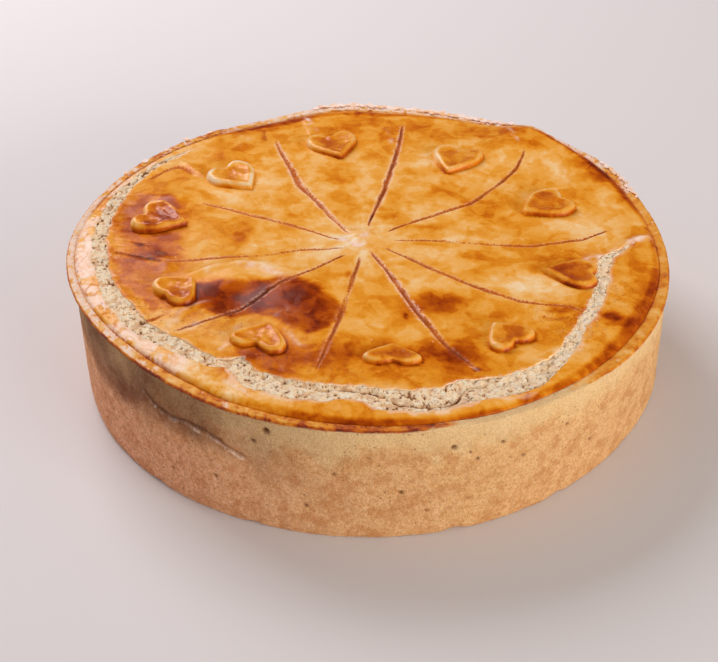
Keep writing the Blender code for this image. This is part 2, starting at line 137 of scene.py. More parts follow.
# Hearts: x, y, direction of the point, width, length, thickness, how open the notch is,
# browning of the middle, browning of the edges.
HEARTS = (
    (-15.8, 76.2, -74, 24, 24.5, 2.8, 0.8, 0.6, 0.38),
    (-57.2, 47.8, -52, 22.8, 23.8, 3, 0.5, 0.52, 0.1),
    (-85.5, 14, -21, 23.8, 23.8, 3.4, 0.6, 0.74, 0.36),
    (-73.8, -37.5, 44, 22.5, 17, 3.4, 0, 0.62, 0.42),
    (-40.4, -68.5, 68, 24, 17, 2.6, 0.9, 0.6, 0.36),
    (7.6, -79, 89, 23.3, 12, 2.2, 0.5, 0.66, 0.36),
    (50, -66.5, 126, 21.3, 16.4, 2.6, 0.6, 0.64, 0.36),
    (78.1, -25.2, 176, 20.4, 22, 2.8, 0.2, 0.76, 0.5),
    (72.5, 26.5, -148, 22.2, 24.3, 2.8, 0.4, 0.66, 0.34),
    (37, 63.8, -110, 23.6, 23.8, 2.8, 0.6, 0.58, 0.3),
)
HEART_CAGE_POINTS = 16
HEART_BLUNTNESS = 0.25
HEART_NOTCH = 0.4

# Mesh fineness.
LID_SPOKES_BETWEEN_LINES = 96
CASE_SPOKES = 1000
CRUMB_SPOKES = 1150

# The photograph's camera.
CAMERA_PLACE = (0.0, -0.5601, 0.4032)
CAMERA_PITCH, CAMERA_YAW, CAMERA_ROLL = 35.103, -0.527, -0.709  # degrees
CAMERA_LENS = 81.8


# ---------------------------------------------------------------- shape functions

def hump(offset, spread):
    """A smooth hump of height 1 where offset is 0."""
    return np.exp(-((offset / spread) ** 2))


def smooth_step(value, low, high):
    """0 below low, 1 above high, and an easy curve between."""
    share = np.clip((value - low) / (high - low), 0.0, 1.0)
    return share * share * (3.0 - 2.0 * share)


def turn_between(direction, other):
    return (direction - other + 180.0) % 360.0 - 180.0


def humps_round_rim(humps, direction):
    return sum(size * MM * hump(turn_between(direction, at), spread) for at, spread, size in humps)


def column(rows, number, direction):
    """A column of a table of directions, read between its rows."""
    return np.interp(direction, [row[0] for row in rows], [row[number] for row in rows], period=360)


def rim_radius(direction):
    waves = sum(
        size * MM * np.cos(np.radians(count * (direction - crest))) for count, size, crest in RIM_WAVES
    )
    return RIM_RADIUS + waves + humps_round_rim(RIM_BULGES, direction)


def base_radius(direction):
    return BASE_RADIUS + humps_round_rim(BASE_BULGES, direction)


def from_star(direction, distance):
    turn = np.radians(direction)
    return STAR[0] + distance * np.cos(turn), STAR[1] + distance * np.sin(turn)


def star_to(outline, direction):
    """The distance from the star to an outline round the axis."""
    distance = np.full(np.shape(direction), RIM_RADIUS)
    for _ in range(4):
        x, y = from_star(direction, distance)
        distance = distance + outline(np.degrees(np.arctan2(y, x))) - np.hypot(x, y)
    return distance


def lid_edge(direction):
    return star_to(rim_radius, direction) - LEDGE_WIDTH - humps_round_rim(WIDE_LEDGES, direction)


def rim_height(x, y):
    lift = humps_round_rim(RIM_LIFTS, np.degrees(np.arctan2(y, x)))
    return WALL_HEIGHT + RIM_TILT * x + lift * (np.hypot(x, y) / RIM_RADIUS) ** 4


def to_polyline(x, y, points):
    """The distance from each place to a line through points, and how far along it the nearest point is."""
    nearest = np.full(np.shape(x), 1.0)
    along = np.zeros(np.shape(x))
    lengths = [math.dist(a, b) for a, b in zip(points, points[1:])]
    passed = 0.0
    for start, end, length in zip(points, points[1:], lengths):
        step = ((x - start[0]) * (end[0] - start[0]) + (y - start[1]) * (end[1] - start[1])) / length**2
        step = np.clip(step, 0.0, 1.0)
        away = np.hypot(x - start[0] - step * (end[0] - start[0]), y - start[1] - step * (end[1] - start[1]))
        along = np.where(away < nearest, passed + step * length, along)
        nearest = np.minimum(nearest, away)
        passed += length
    return nearest, along / passed


def in_mm(points):
    """Points of a table, in metres."""
    return [(x * MM, y * MM) for x, y in points]


def near(x, y, at_x, at_y, spread):
    """1 at a place of a table, and less round it."""
    return hump(np.hypot(x - at_x * MM, y - at_y * MM), spread * MM)


def near_lines(x, y, rows, first_fade, last_fade):
    """For each row of half width, size and points: its size, its ends' fade, and how near its line is."""
    for half_width, size, points in rows:
        away, along = to_polyline(x, y, in_mm(points))
        ends = smooth_step(along, 0.0, first_fade) * smooth_step(1.0 - along, 0.0, last_fade)
        yield size, ends, hump(away, half_width * MM)


# ---------------------------------------------------------------- noise

def hashed(cells, seed):
    """A repeatable value from -1 to 1 for each whole-numbered cell."""
    number = cells.astype(np.int64) @ np.array((73856093, 19349663, 83492791)) + seed * 97561
    number = ((number ^ (number >> 13)) * 1274126177) & 0xFFFFFFFF
    number = ((number ^ (number >> 15)) * 2246822519) & 0xFFFFFFFF
    number = number ^ (number >> 16)
    return (number & 0xFFFFFF) / 0x7FFFFF - 1.0


def smooth_noise(points, size, seed):
    """Smooth noise from -1 to 1, with features about one size across, in mm."""
    cell = points / (size * MM)
    low = np.floor(cell)
    part = cell - low
    part = part * part * (3.0 - 2.0 * part)
    total = np.zeros(points.shape[:-1])
    for corner in itertools.product((0, 1), repeat=3):
        weight = np.prod(np.where(corner, part, 1.0 - part), axis=-1)
        total += weight * hashed(low + corner, seed)
    return total


def layered_noise(points, size, layers, seed):
    total = sum(smooth_noise(points, size / 2**layer, seed + layer) / 2**layer for layer in range(layers))
    return total / (2.0 - 2.0 ** (1 - layers))


def grains(points, size, seed):
    """How far each point is from the nearest of many scattered grain centres, in sizes."""
    cell = points / (size * MM)
    low = np.floor(cell)
    nearest = np.full(points.shape[:-1], 9.0)
    for neighbour in itertools.product((-1, 0, 1), repeat=3):
        corner = low + neighbour
        centre = np.stack([hashed(corner, seed + axis) for axis in range(3)], axis=-1)
        away = np.linalg.norm(cell - corner - 0.5 - 0.45 * centre, axis=-1)
        nearest = np.minimum(nearest, away)
    return nearest


def in_space(x, y, z=0.0):
    return np.stack(np.broadcast_arrays(x, y, z), axis=-1)


def terraces(x, y, wave, seed):
    """Thin torn layers: their height from about -1 to 1, and how near each place is to a layer's edge."""
    level = 3.0 * layered_noise(in_space(x, y), wave, 4, seed)
    part = level - np.floor(level)
    return (np.floor(level) + smooth_step(part, 0.0, 0.25)) / 3.0, hump(part - 0.10, 0.12)


# ---------------------------------------------------------------- the lid's surface

def ripple(x, y):
    places = zip(np.ravel(x), np.ravel(y))
    values = [noise.noise(Vector((px, py, 0.0)) / RIPPLE_LENGTH) for px, py in places]
    return RIPPLE_SIZE * np.reshape(values, np.shape(x))


def swollen_height(x, y):
    """The lid's broad form, as the solids have it."""
    dome = LID_DOME * (1 - (x * x + y * y) / RIM_RADIUS**2)
    swells = sum(height * MM * near(x, y, *place) for *place, height in SWELLS)
    return rim_height(x, y) + dome + swells + ripple(x, y)


def from_boss(x, y):
    return np.hypot(x - BOSS_PLACE[0], y - BOSS_PLACE[1])


def rays(x, y, wave, seed):
    """Noise that changes round the boss but not along its rays."""
    turn = np.arctan2(y - BOSS_PLACE[1], x - BOSS_PLACE[0])
    return layered_noise(in_space(10 * MM * np.cos(turn), 10 * MM * np.sin(turn)), wave, 2, seed)


def boss(x, y):
    """The puckered boss where the score lines meet."""
    away = from_boss(x, y)
    disc = BOSS_HEIGHT * np.exp(-((away / BOSS_RADIUS) ** 6)) - 0.6 * MM * hump(away, 1.9 * MM)
    pleats = 0.45 * MM * rays(x, y, 3.2, 601) * hump(away - 7 * MM, 6 * MM)
    return disc + pleats


# Ridges (height over 0) and creases of the lid: half width, height, then points from the axis.
CREASES = (
    (0.7, -0.8, ((-104, -8), (-97, -10.5), (-88, -14), (-79, -17))),
    (1.4, 0.5, ((-102, -11), (-95, -14), (-84, -19))), (0.6, -0.5, ((-97, -1), (-93, -2.5), (-89, -3))),
    (2.6, 1.1, ((-74, -31), (-67, -26), (-60, -23), (-52, -21.5), (-43, -22), (-35, -28))),
    (2.2, 0.7, ((-77, -60), (-72, -52), (-67, -47), (-59, -44.5))),
    (0.8, -0.7, ((-88, -58), (-82, -56), (-76, -51))), (2.2, 0.6, ((-70, -47), (-77, -53), (-80, -60))),
    (2, 0.6, ((-84, -13), (-80, -20), (-80, -26))), (1.2, 0.5, ((-30, 106), (-28, 97), (-26, 88))),
    (1, -0.4, ((-48, 97), (-47, 84))), (1.3, 0.5, ((-58, 91), (-57, 82), (-56, 74))),
    (1.5, 0.6, ((-98, 51), (-90, 61), (-83, 65), (-78, 61), (-74, 54), (-70, 49))),
    (0.9, -0.5, ((-96, 48), (-89, 57), (-83, 61), (-79, 57), (-76, 52))),
    (1, 0.35, ((60, 97), (63, 88), (66, 78))), (1.2, 0.3, ((84, 61), (84, 49))),
    (1.6, 0.7, ((102, -2), (108, 4), (115, 7))), (1, 0.35, ((62, -50), (68, -52), (75, -51))),
    (1, 0.35, ((60, -55), (68, -57), (76, -55))), (0.8, -0.3, ((63, -53), (70, -54.5), (76, -53))),
    (1, -0.5, ((101, -38), (103, -47), (100, -56))), (1.4, 0.5, ((5, 95), (9, 88), (8, 80))),
)


def creased(x, y):
    wobble = 1.0 + 0.4 * smooth_noise(in_space(x, y), 4, 61)
    rows = near_lines(x, y, CREASES, 0.15, 0.15)
    return sum(height * MM * wobble * ends * line for height, ends, line in rows)


# Pale streaks, most of them painted highlights and sheen on ridges and round the boss: half width, strength,
# points from the axis.
STREAKS = (
    (1.6, 1.3, ((88, -14), (92, -11), (97, -7), (103, -1), (108, 3), (112, 6), (115, 1))),
    (2.6, 0.8, ((84, -12), (90, -12), (96, -9))),
    (2.2, 0.5, ((86, -36), (89, -27), (91, -18), (94, -10), (98, -7))),
    (0.7, 0.7, ((59, 100), (62, 94), (64.5, 85), (66, 77))), (0.7, 0.5, ((83, 61), (84.5, 53), (85, 45))),
    (1.2, 1.1, ((-29, 108), (-27, 99), (-24, 91))), (0.7, 0.9, ((-55, 92), (-54, 83))),
    (1.3, 1.9, ((-13, -1), (-8.5, -3.5), (-5, -6), (-1, -6))),
    (0.9, 1.5, ((-11, 1), (-9, 3.5), (-7, 6), (-3, 7))), (2.6, 0.9, ((-5, 0), (0, 1))),
    (1, 0.8, ((6, 97), (10, 88), (9, 80))), (0.6, 0.4, ((-36, -75), (-31, -70), (-30, -64))),
    (0.8, 0.4, ((-76, -60), (-72, -52), (-67, -47), (-60, -44))), (0.7, 0.5, ((36, -85), (39, -88))),
    (1.6, 0.7, ((-80, -64), (-74, -57), (-72, -50))), (1.5, 0.8, ((-69, -64), (-64, -56))),
    (1.2, 0.8, ((-52, -65), (-49, -60))), (1.4, 0.7, ((-33, -61), (-29, -68), (-25, -76))),
    (1.3, 0.6, ((-37, -57), (-31, -50))), (1, 0.5, ((-56, -76), (-52, -70))),
    # painted sheen along the ridge above the scorched patch
    (2.4, 0.8, ((-68, -28), (-60, -25), (-52, -23.5), (-43, -24), (-34, -28), (-28, -30))),
)


def streaked(x, y):
    ragged = np.clip(0.4 + 1.7 * layered_noise(in_space(x, y), 2.6, 4, 62), 0.0, 1.0)
    total = np.zeros(np.shape(x))
    for strength, ends, line in near_lines(x, y, STREAKS, 0.1, 0.25):
        total = np.maximum(total, strength * ends * line * ragged)
    return total


def lid_height(x, y):
    """The lid's skin without its cuts and its crack."""
    places = in_space(x, y)
    lumps = 0.20 * MM * layered_noise(places, 9, 3, 11) + 0.06 * MM * layered_noise(places, 2.4, 2, 12)
    wrinkles = layered_noise(in_space(0.3 * x, y), 2.0, 2, 13)
    wrinkles = 0.16 * MM * speckled_places(x, y) * np.minimum(wrinkles, 0.15)
    return swollen_height(x, y) + boss(x, y) + creased(x, y) + lumps + wrinkles


def line_direction(line, distance):
    """The direction from the star in which a score line lies at that distance."""
    points = line[3]
    reached = [math.hypot(*point) * MM for point in points]
    x = np.interp(distance, reached, [point[0] for point in points])
    y = np.interp(distance, reached, [point[1] for point in points])
    return np.degrees(np.arctan2(y, x))


def one_cut(number, line, direction, distance):
    """One score line: its depth, less its raised edges, how brown it is, and the painted glints along its
    lips.
    """
    half_width, line_depth = line[0] * MM, line[1] * MM
    start, end = (math.hypot(*line[3][place]) * MM for place in (0, -1))
    run = in_space(distance, number * 0.05)
    uneven = 1.0 + 0.4 * layered_noise(run, 3, 3, 81)
    taper = 0.55 + 0.45 * np.sin(math.pi * np.clip((distance - start) / (end - start), 0.0, 1.0))
    across = distance * np.radians(turn_between(direction, line_direction(line, distance)))
    across = np.abs(across + 0.35 * MM * layered_noise(run, 6, 4, 71)) / (half_width * uneven * taper)
    inside = smooth_step(distance, start - 1 * MM, start + 3 * MM)
    inside = inside * smooth_step(end - distance, -1 * MM, 5 * MM)
    groove = inside * uneven * np.clip(1.0 - across**2, 0.0, 1.0)
    edges = inside * hump(across - 1.7, 0.65)
    x, y = from_star(direction, distance)
    for place in CLOSED_PLACES:
        inside = inside * (1 - 0.65 * near(x, y, *place))
    faded = np.clip(0.92 + 0.35 * smooth_noise(run, 7, 91), 0.5, 1.0)
    brown = line[2] * faded * inside * smooth_step(1.5 - across, 0.0, 1.0)
    wide = 0.25 + 0.75 * smooth_step(half_width, 0.95 * MM, 1.1 * MM)
    wide = wide * (1 - 0.9 * near(x, y, *BROWNED_LIPS))
    depth = line_depth * groove - CUT_LIP * edges * (line_depth / MM)
    return depth, brown, wide * inside * hump(across - 1.25, 0.6)


def cut_depth(direction, distance):
    """All the score lines: how deep they are, how brown, and the painted glints along their lips."""
    cuts = [one_cut(number, line, direction, distance) for number, line in enumerate(SCORE_LINES)]
    depths, browns, lips = zip(*cuts)
    return sum(depths), np.maximum.reduce(browns), np.maximum.reduce(lips)


def round_the_rim(direction, height=0.0):
    """Places on a cylinder as large as the rim, to read noise round the pie."""
    turn = np.radians(direction)
    return in_space(np.cos(turn) * RIM_RADIUS, np.sin(turn) * RIM_RADIUS, height)


def jag(direction, wave, seed):
    """An uneven torn edge, with waves of a size in mm along it."""
    return layered_noise(round_the_rim(direction), wave, 4, seed)


def crack_at(direction):
    """Inner edge, outer edge and torn share of the crack in that direction."""
    torn = np.minimum(column(CRACK, 3, direction), 1.0)
    inner = MM * column(CRACK, 1, direction) + torn * CRACK_JAG * jag(direction, 6, 21)
    inner = inner + torn * 0.5 * MM * jag(direction, 1.8, 22)
    outer = MM * column(CRACK, 2, direction) + torn * CRACK_JAG * jag(direction, 7, 31)
    outer = outer + torn * 0.4 * MM * jag(direction, 2.2, 32)
    return inner, outer, torn


def crumb_drop(direction, distance):
    """How far the crumb lies under the skin."""
    inner, outer, _ = crack_at(direction)
    fissure = MM * column(FISSURE, 1, direction) + 0.9 * MM * jag(direction, 4, 41)
    fissure = np.clip(fissure, inner + 0.6 * MM, outer - 0.6 * MM)
    drops = [MM * column(CRUMB_DROPS, number, direction) for number in (1, 2, 3)]
    inner_drop, fissure_drop, outer_drop = drops
    inside = np.clip((distance - inner) / (fissure - inner), 0.0, 1.0)
    outside = np.clip((outer - distance) / (outer - fissure), 0.0, 1.0)
    slope = np.where(distance < fissure, inner_drop + (fissure_drop - inner_drop) * inside**1.4,
                     outer_drop + (fissure_drop - outer_drop) * outside**2.2)
    cleft = 0.9 * MM * (fissure_drop / (2 * MM)) * hump(distance - fissure, FISSURE_WIDTH)
    return slope + cleft


# ---------------------------------------------------------------- browning of the lid

# The scorched patch beside two of the hearts: its outline from the axis.
SCORCH = (
    (-69, -33), (-58, -31.5), (-50, -31.5), (-42, -32), (-36, -29), (-28, -31), (-20, -38), (-13, -45),
    (-9, -53), (-12, -59), (-18, -65), (-24, -67), (-30, -61), (-38, -56), (-45, -53), (-53, -56),
    (-61, -51), (-69, -46), (-73, -41), (-70, -35),
)
# Browned places: x, y, half width along, half width across, angle, how much browner.
BROWNED = (
    (-45, -84, 20, 9, 20, 0.12), (-14, -108, 20, 7, 0, 0.22), (4, 96, 70, 14, 0, 0.1),
    (8, -84, 54, 14, 0, 0.18), (98, -30, 16, 40, 15, 0.07), (-70, 10, 22, 30, 0, 0.04),
    (-52, -45, 17, 9, -8, 0.14), (-24, -48, 9, 14, 0, 0.04), (26, -47, 11, 8, -8, 0.34),
    (30, -43, 26, 7, 0, 0.12), (13, -51, 6, 6, 0, 0.14), (40, -55, 12, 4, 10, 0.08),
    (73, -17, 12, 7, 20, 0.14), (60, -6, 18, 12, 20, 0.07), (50, 22, 8, 8, 40, 0.18),
    (32, 38, 7, 6, 20, 0.22), (42, 30, 5, 4, 20, 0.1), (8, 16, 4, 4, 0, 0.16), (10, 26, 3, 5, 0, 0.1),
    (25, 8, 10, 3, 0, 0.14), (40, 6, 7, 3, 0, 0.08), (40, -13, 8, 3, -20, 0.12), (20, -6, 5, 2.5, 0, 0.08),
    (-52, 8, 5, 11, 0, 0.2), (-47, 18, 6, 5, 0, 0.08), (-29, 18, 6, 4, 0, 0.08), (-13, 48, 8, 5, 0, 0.14),
    (-78, -5, 4, 9, -20, 0.15), (-82, 2, 6, 3, -20, 0.12), (-82, -12, 9, 5, 0, 0.12),
    (-80, -27, 12, 8, 0, 0.12), (-91, 0, 14, 44, 0, 0.3), (-101, 24, 8, 22, 0, 0.12),
    (-83, 28, 4, 8, 10, 0.16), (-92, -12, 12, 4, 10, 0.12), (-78, -46, 16, 7, -40, 0.14),
    (-62, 76, 10, 15, -30, 0.16), (-62, 64, 6, 9, 0, 0.12), (-82, 46, 16, 13, 0, 0.1),
    (-52, 62, 5, 5, 0, 0.1), (-45, 98, 22, 5, 26, 0.18), (-22, 88, 16, 9, 0, 0.1),
    (-20, -73, 26, 12, 0, 0.12), (-30, -86, 10, 5, 10, 0.14), (-45, -77, 6, 4, 0, 0.14),
    (10, -80, 22, 6, 0, 0.16), (30, -76, 10, 7, 0, 0.14), (20, -90, 40, 6, 4, 0.08),
    (52, -60, 20, 12, 20, 0.08), (72, -48, 6, 3, 0, 0.26), (76, -52, 9, 6, 10, 0.1),
    (90.5, -51.5, 3.6, 3.4, 0, 0.42), (88, -53, 8, 8, 30, 0.14), (105, -44, 3, 15, 20, 0.14),
    (97, -60, 6, 12, 30, 0.14), (86, -74, 14, 5, 45, 0.08), (107, -8, 5, 26, 0, 0.14),
    (70, 84, 12, 12, -30, 0.18), (50, 93, 14, 7, -10, 0.14), (26, 95, 7, 10, 0, 0.14),
    (-5, 103, 20, 5, 0, 0.08), (103, 48, 5, 26, 24, 0.24), (94, 64, 8, 12, 30, 0.1),
    (88, 38, 8, 12, 0, 0.05), (4, 72, 6, 8, 0, 0.08), (-93, -3, 1.8, 1.5, 0, 0.4),
    (12, -54, 1.3, 1.3, 0, 0.45), (38, -88, 2, 1.2, 0, 0.4), (-7.5, -29, 1.6, 2.4, 0, 0.3),
    (-100, -34, 6, 12, 20, 0.1),
)
# Pale places: x, y, half widths, angle, how much paler.
PALE = (
    (-26, 38, 10, 18, 20, 0.06), (-48, 44, 10, 6, 0, 0.12), (-25, 82, 5, 16, 10, 0.1),
    (24, 68, 6, 9, 0, 0.12), (20, 40, 5, 12, -20, 0.06), (83, 54, 6, 12, 10, 0.1),
    (92, 12, 16, 16, 0, 0.16), (66, -34, 14, 4, 0, 0.16), (62, -32, 18, 7, 0, 0.06),
    (30, -1, 26, 2, 0, 0.1), (56, 62, 6, 9, 0, 0.08), (-60, 34, 9, 8, 0, 0.08), (-32, -8, 20, 5, 0, 0.06),
    (-44, -6, 6, 8, 0, 0.08), (60, -54, 10, 2.5, 20, 0.08), (-3, -34, 5, 12, 0, 0.06),
    (52, 46, 10, 10, 30, 0.04), (88, -34, 5, 8, 0, 0.12), (-66, -8, 8, 14, 0, 0.06),
)
BASE_BROWNING, DARKEST = 0.36, 0.95


def patch(x, y, row):
    """A soft oval patch: 1 in its middle."""
    px, py, along, across, angle, amount = row
    turn = math.radians(angle)
    u = (x / MM - px) * math.cos(turn) + (y / MM - py) * math.sin(turn)
    v = -(x / MM - px) * math.sin(turn) + (y / MM - py) * math.cos(turn)
    return amount * np.exp(-((u / along) ** 2 + (v / across) ** 2) ** 1.7)


def inside_outline(x, y, points):
    """Whether each place is inside a closed outline."""
    inside = np.zeros(np.shape(x), bool)
    for (x1, y1), (x2, y2) in zip(points, points[1:] + points[:1]):
        crosses = (y1 > y) != (y2 > y)
        reach = (x2 - x1) * (y - y1) / (y2 - y1 if y2 != y1 else MM) + x1
        inside ^= crosses & (x < reach)
    return inside


def scorch(x, y):
    outline = in_mm(SCORCH)
    away, _ = to_polyline(x, y, outline + outline[:1])
    depth = np.where(inside_outline(x, y, outline), away, -away)
    depth = depth + 1.2 * MM * layered_noise(in_space(x, y), 7, 3, 131)
    blotches = 0.07 * layered_noise(in_space(x, y), 16, 3, 141)
    deeper = 0.06 * smooth_step(depth, 2 * MM, 8 * MM)
    return smooth_step(depth, -1.4 * MM, 1.8 * MM) * (0.39 + blotches + deeper)


def lid_browning(x, y):
    places = in_space(x, y)
    wander = 3.0 * MM * layered_noise(places, 10, 5, 101)
    drift = 3.0 * MM * layered_noise(places, 10, 5, 111)
    total = np.full(np.shape(x), BASE_BROWNING)
    total += sum(patch(x + wander, y + drift, row) for row in BROWNED)
    total -= sum(patch(x + wander, y + drift, row) for row in PALE)
    total += scorch(x, y)
    total += 0.10 * layered_noise(places, 20, 3, 151)
    total += 0.09 * smooth_step(layered_noise(places, 11, 3, 155), 0.00, 0.12)
    total += 0.03 * layered_noise(places, 4, 3, 161)
    away = from_boss(x, y)
    bright = smooth_step(rays(x, y, 3.6, 611), -0.1, 0.4)
    total -= 0.20 * bright * smooth_step(away, 2 * MM, 5 * MM) * smooth_step(34 * MM - away, 0.0, 26 * MM)
    total -= 0.14 * hump(away, 14 * MM) + 0.12 * hump(away, 4 * MM)
    return np.minimum(total, DARKEST)


# ---------------------------------------------------------------- mesh helpers

def new_object(name, points, faces):
    mesh = bpy.data.meshes.new(name)
    mesh.from_pydata(points, [], faces)
    obj = bpy.data.objects.new(name, mesh)
    bpy.context.scene.collection.objects.link(obj)
    return obj


def ring_mesh(name, rings, first=None, last=None, closed=True):
    """A surface through rings of points, with a fan at each end point that is given."""
    count, spokes = rings.shape[:2]
    points = rings.reshape(-1, 3).tolist()
    here = np.arange(count * spokes).reshape(count, spokes)
    beside = np.roll(here, -1, axis=1)
    if not closed:
        here, beside = here[:, :-1], here[:, 1:]
    faces = np.stack([here[:-1], here[1:], beside[1:], beside[:-1]], axis=-1).reshape(-1, 4).tolist()
    if first is not None:
        points.append(tuple(first))
        faces += [(len(points) - 1, a, b) for a, b in zip(here[0], beside[0])]
    if last is not None:
        points.append(tuple(last))
        faces += [(len(points) - 1, b, a) for a, b in zip(here[-1], beside[-1])]
    return new_object(name, points, faces)


def close_up(obj, seam=False):
    """Turns the faces out. With seam, it first merges the doubled seam and closes the two ends."""
    body = bmesh.new()
    body.from_mesh(obj.data)
    if seam:
        bmesh.ops.remove_doubles(body, verts=body.verts, dist=0.001 * MM)
        bmesh.ops.holes_fill(body, edges=[edge for edge in body.edges if edge.is_boundary], sides=0)
    bmesh.ops.recalc_face_normals(body, faces=body.faces)
    body.to_mesh(obj.data)
    body.free()


def set_masks(obj, ends, **masks):
    """Stores values for the points of a ring mesh, and for its end points."""
    for name, values in masks.items():
        flat = np.concatenate([np.ravel(values), np.asarray(ends, float)]).astype(np.float32)
        obj.data.attributes.new(name, "FLOAT", "POINT").data.foreach_set("value", flat)


def finish_piece(obj, material, sharp_degrees, slot, *nodes):
    obj.data.materials.append(material)
    obj.data.shade_smooth()
    obj.data.set_sharp_from_angle(angle=math.radians(sharp_degrees))
    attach(obj, "root")
    if nodes:
        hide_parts(*nodes)
    return obj


# ---------------------------------------------------------------- materials

def linear(red, green, blue):
    """A colour given as 0 to 255 on a screen, as the renderer's linear values."""
    values = []
    for value in (red, green, blue):
        share = value / 255.0
        values.append(share / 12.92 if share <= 0.04045 else ((share + 0.055) / 1.055) ** 2.4)
    return (*values, 1.0)


SURFACE_SOCKETS = {
    "colour": "Base Color",
    "roughness": "Roughness",
    "level": "Specular IOR Level",
    "tint": "Specular Tint",
    "normal": "Normal",
}


class Shader:
    """A material with a Principled BSDF, and short calls for the nodes that feed it. Sizes are in mm."""

    def __init__(self, name):
        self.material = bpy.data.materials.new(name)
        self.material.use_nodes = True
        self.tree = self.material.node_tree
        self.surface = self.tree.nodes["Principled BSDF"]

    def node(self, kind, **settings):
        node = self.tree.nodes.new(kind)
        for name, value in settings.items():
            setattr(node, name, value)
        return node

    def put(self, value, socket):
        """Sets a socket to a value, or feeds it from another node."""
        if isinstance(value, bpy.types.NodeSocket):
            self.tree.links.new(value, socket)
        else:
            socket.default_value = value

    def put_all(self, node, values):
        for name, value in values.items():
            self.put(value, node.inputs[name])

    def dress(self, **values):
        """Sets or feeds the surface's own sockets."""
        self.put_all(self.surface, {SURFACE_SOCKETS[name]: value for name, value in values.items()})
        return self.material

    def mask(self, name):
        return self.node("ShaderNodeAttribute", attribute_name=name).outputs["Fac"]

    def masks(self, *names):
        return [self.mask(name) for name in names]

    def textured(self, kind, size, **values):
        """A texture node that is laid in the object's own space."""
        node = self.node(kind)
        place = self.node("ShaderNodeTexCoord").outputs["Object"]
        self.put_all(node, {"Vector": place, "Scale": 1.0 / (size * MM), **values})
        return node

    def noise(self, size, detail=4.0, roughness=0.55, distortion=0.0):
        """Noise about 0.5, with features about one size across."""
        values = {"Detail": detail, "Roughness": roughness, "Distortion": distortion}
        return self.textured("ShaderNodeTexNoise", size, **values).outputs["Fac"]

    def dots(self, size):
        """The distance to the nearest of many scattered dots, in sizes."""
        return self.textured("ShaderNodeTexVoronoi", size).outputs["Distance"]

    def maths(self, operation, *values, clamp=False):
        node = self.node("ShaderNodeMath", operation=operation, use_clamp=clamp)
        for value, socket in zip(values, node.inputs):
            self.put(value, socket)
        return node.outputs[0]

    def span(self, value, low, high, to_low=0.0, to_high=1.0):
        """Maps low..high to to_low..to_high, and holds beyond."""
        node = self.node("ShaderNodeMapRange")
        for item, socket in zip((value, low, high, to_low, to_high), node.inputs):
            self.put(item, socket)
        return node.outputs[0]

    def patches(self, texture, *span):
        """Noise of a size, detail and roughness, with its levels mapped by span."""
        return self.span(self.noise(*texture), *span)

    def mix(self, share, first, second, blend="MIX"):
        node = self.node("ShaderNodeMix", data_type="RGBA", blend_type=blend)
        for item, number in ((share, 0), (first, 6), (second, 7)):
            self.put(item, node.inputs[number])
        return node.outputs[2]

    def cover(self, colour, over, share, other_share=None, blend="MIX"):
        """Lays one colour over another, by a share or by the product of two."""
        if other_share is not None:
            share = self.maths("MULTIPLY", share, other_share)
        return self.mix(share, colour, over, blend)

    def ramp(self, value, *stops):
        node = self.node("ShaderNodeValToRGB")
        self.put(value, node.inputs[0])
        elements = node.color_ramp.elements
        while len(elements) < len(stops):
            elements.new(0.5)
        for element, (position, colour) in zip(elements, stops):
            element.position = position
            element.color = colour
        return node.outputs[0]

    def bump(self, height, distance, normal=None):
        node = self.node("ShaderNodeBump")
        self.put_all(node, {"Height": height, "Distance": distance * MM, "Strength": 1.0})
        if normal is not None:
            self.put(normal, node.inputs["Normal"])
        return node.outputs[0]


# Colours of the glaze by how brown it is baked.
GLAZE = (
    (0.00, linear(248, 228, 192)),
    (0.14, linear(248, 211, 154)),
    (0.28, linear(245, 188, 108)),
    (0.40, linear(240, 168, 66)),
    (0.52, linear(231, 148, 34)),
    (0.64, linear(214, 118, 14)),
    (0.76, linear(188, 87, 6)),
    (0.88, linear(154, 57, 4)),
    (1.00, linear(112, 34, 4)),
)
# The crumb's colours: pale and warm, and tan and deep for its fine specks and the painted shade in its
# hollows.
CRUMB_PALE, CRUMB_WARM, CRUMB_DEEP = linear(255, 243, 214), linear(255, 216, 164), linear(98, 50, 22)
CRUMB_TAN = linear(214, 150, 88)
# Flour's colours, also used for painted highlights and sheen.
FLOURY, FLOURY_WARM = linear(252, 230, 216), linear(246, 208, 178)
SHEEN = linear(255, 206, 188)  # the warm tint of the glaze's highlights


def glaze_colour(shader, browning):
    """The glaze's colour, mottled a little finer than the mesh can hold."""
    pools = shader.patches((8.0, 4.0, 0.5, 0.5), 0.46, 0.56, -0.05, 0.07)
    mottle = shader.patches((3.0, 4.0, 0.6), 0.3, 0.7, -0.05, 0.05)
    fine = shader.patches((0.9, 3.0, 0.6), 0.3, 0.7, -0.025, 0.025)
    coarse, finer = shader.maths("ADD", browning, mottle), shader.maths("ADD", fine, pools)
    return shader.ramp(shader.maths("ADD", coarse, finer, clamp=True), *GLAZE)


def flour_colour(shader):
    """Dry flour, warmer in places; also the colour of painted highlights and sheen."""
    return shader.mix(shader.patches((2.2,), 0.35, 0.65), FLOURY, FLOURY_WARM)


def crumb_colour(shader, shade):
    """Pale open crumb, warmer in places, with fine dark specks and painted shade in its hollows."""
    warm = shader.mix(shader.patches((2.4,), 0.35, 0.7), CRUMB_PALE, CRUMB_WARM)
    fine = shader.patches((0.9, 4.0, 0.65), 0.53, 0.66, 0.0, 0.60)
    hollow = shader.maths("MAXIMUM", shade, fine, clamp=True)
    tan = shader.mix(shader.span(hollow, 0.18, 0.56, 0.0, 0.9), warm, CRUMB_TAN)
    return shader.mix(shader.span(hollow, 0.44, 0.78), tan, CRUMB_DEEP)


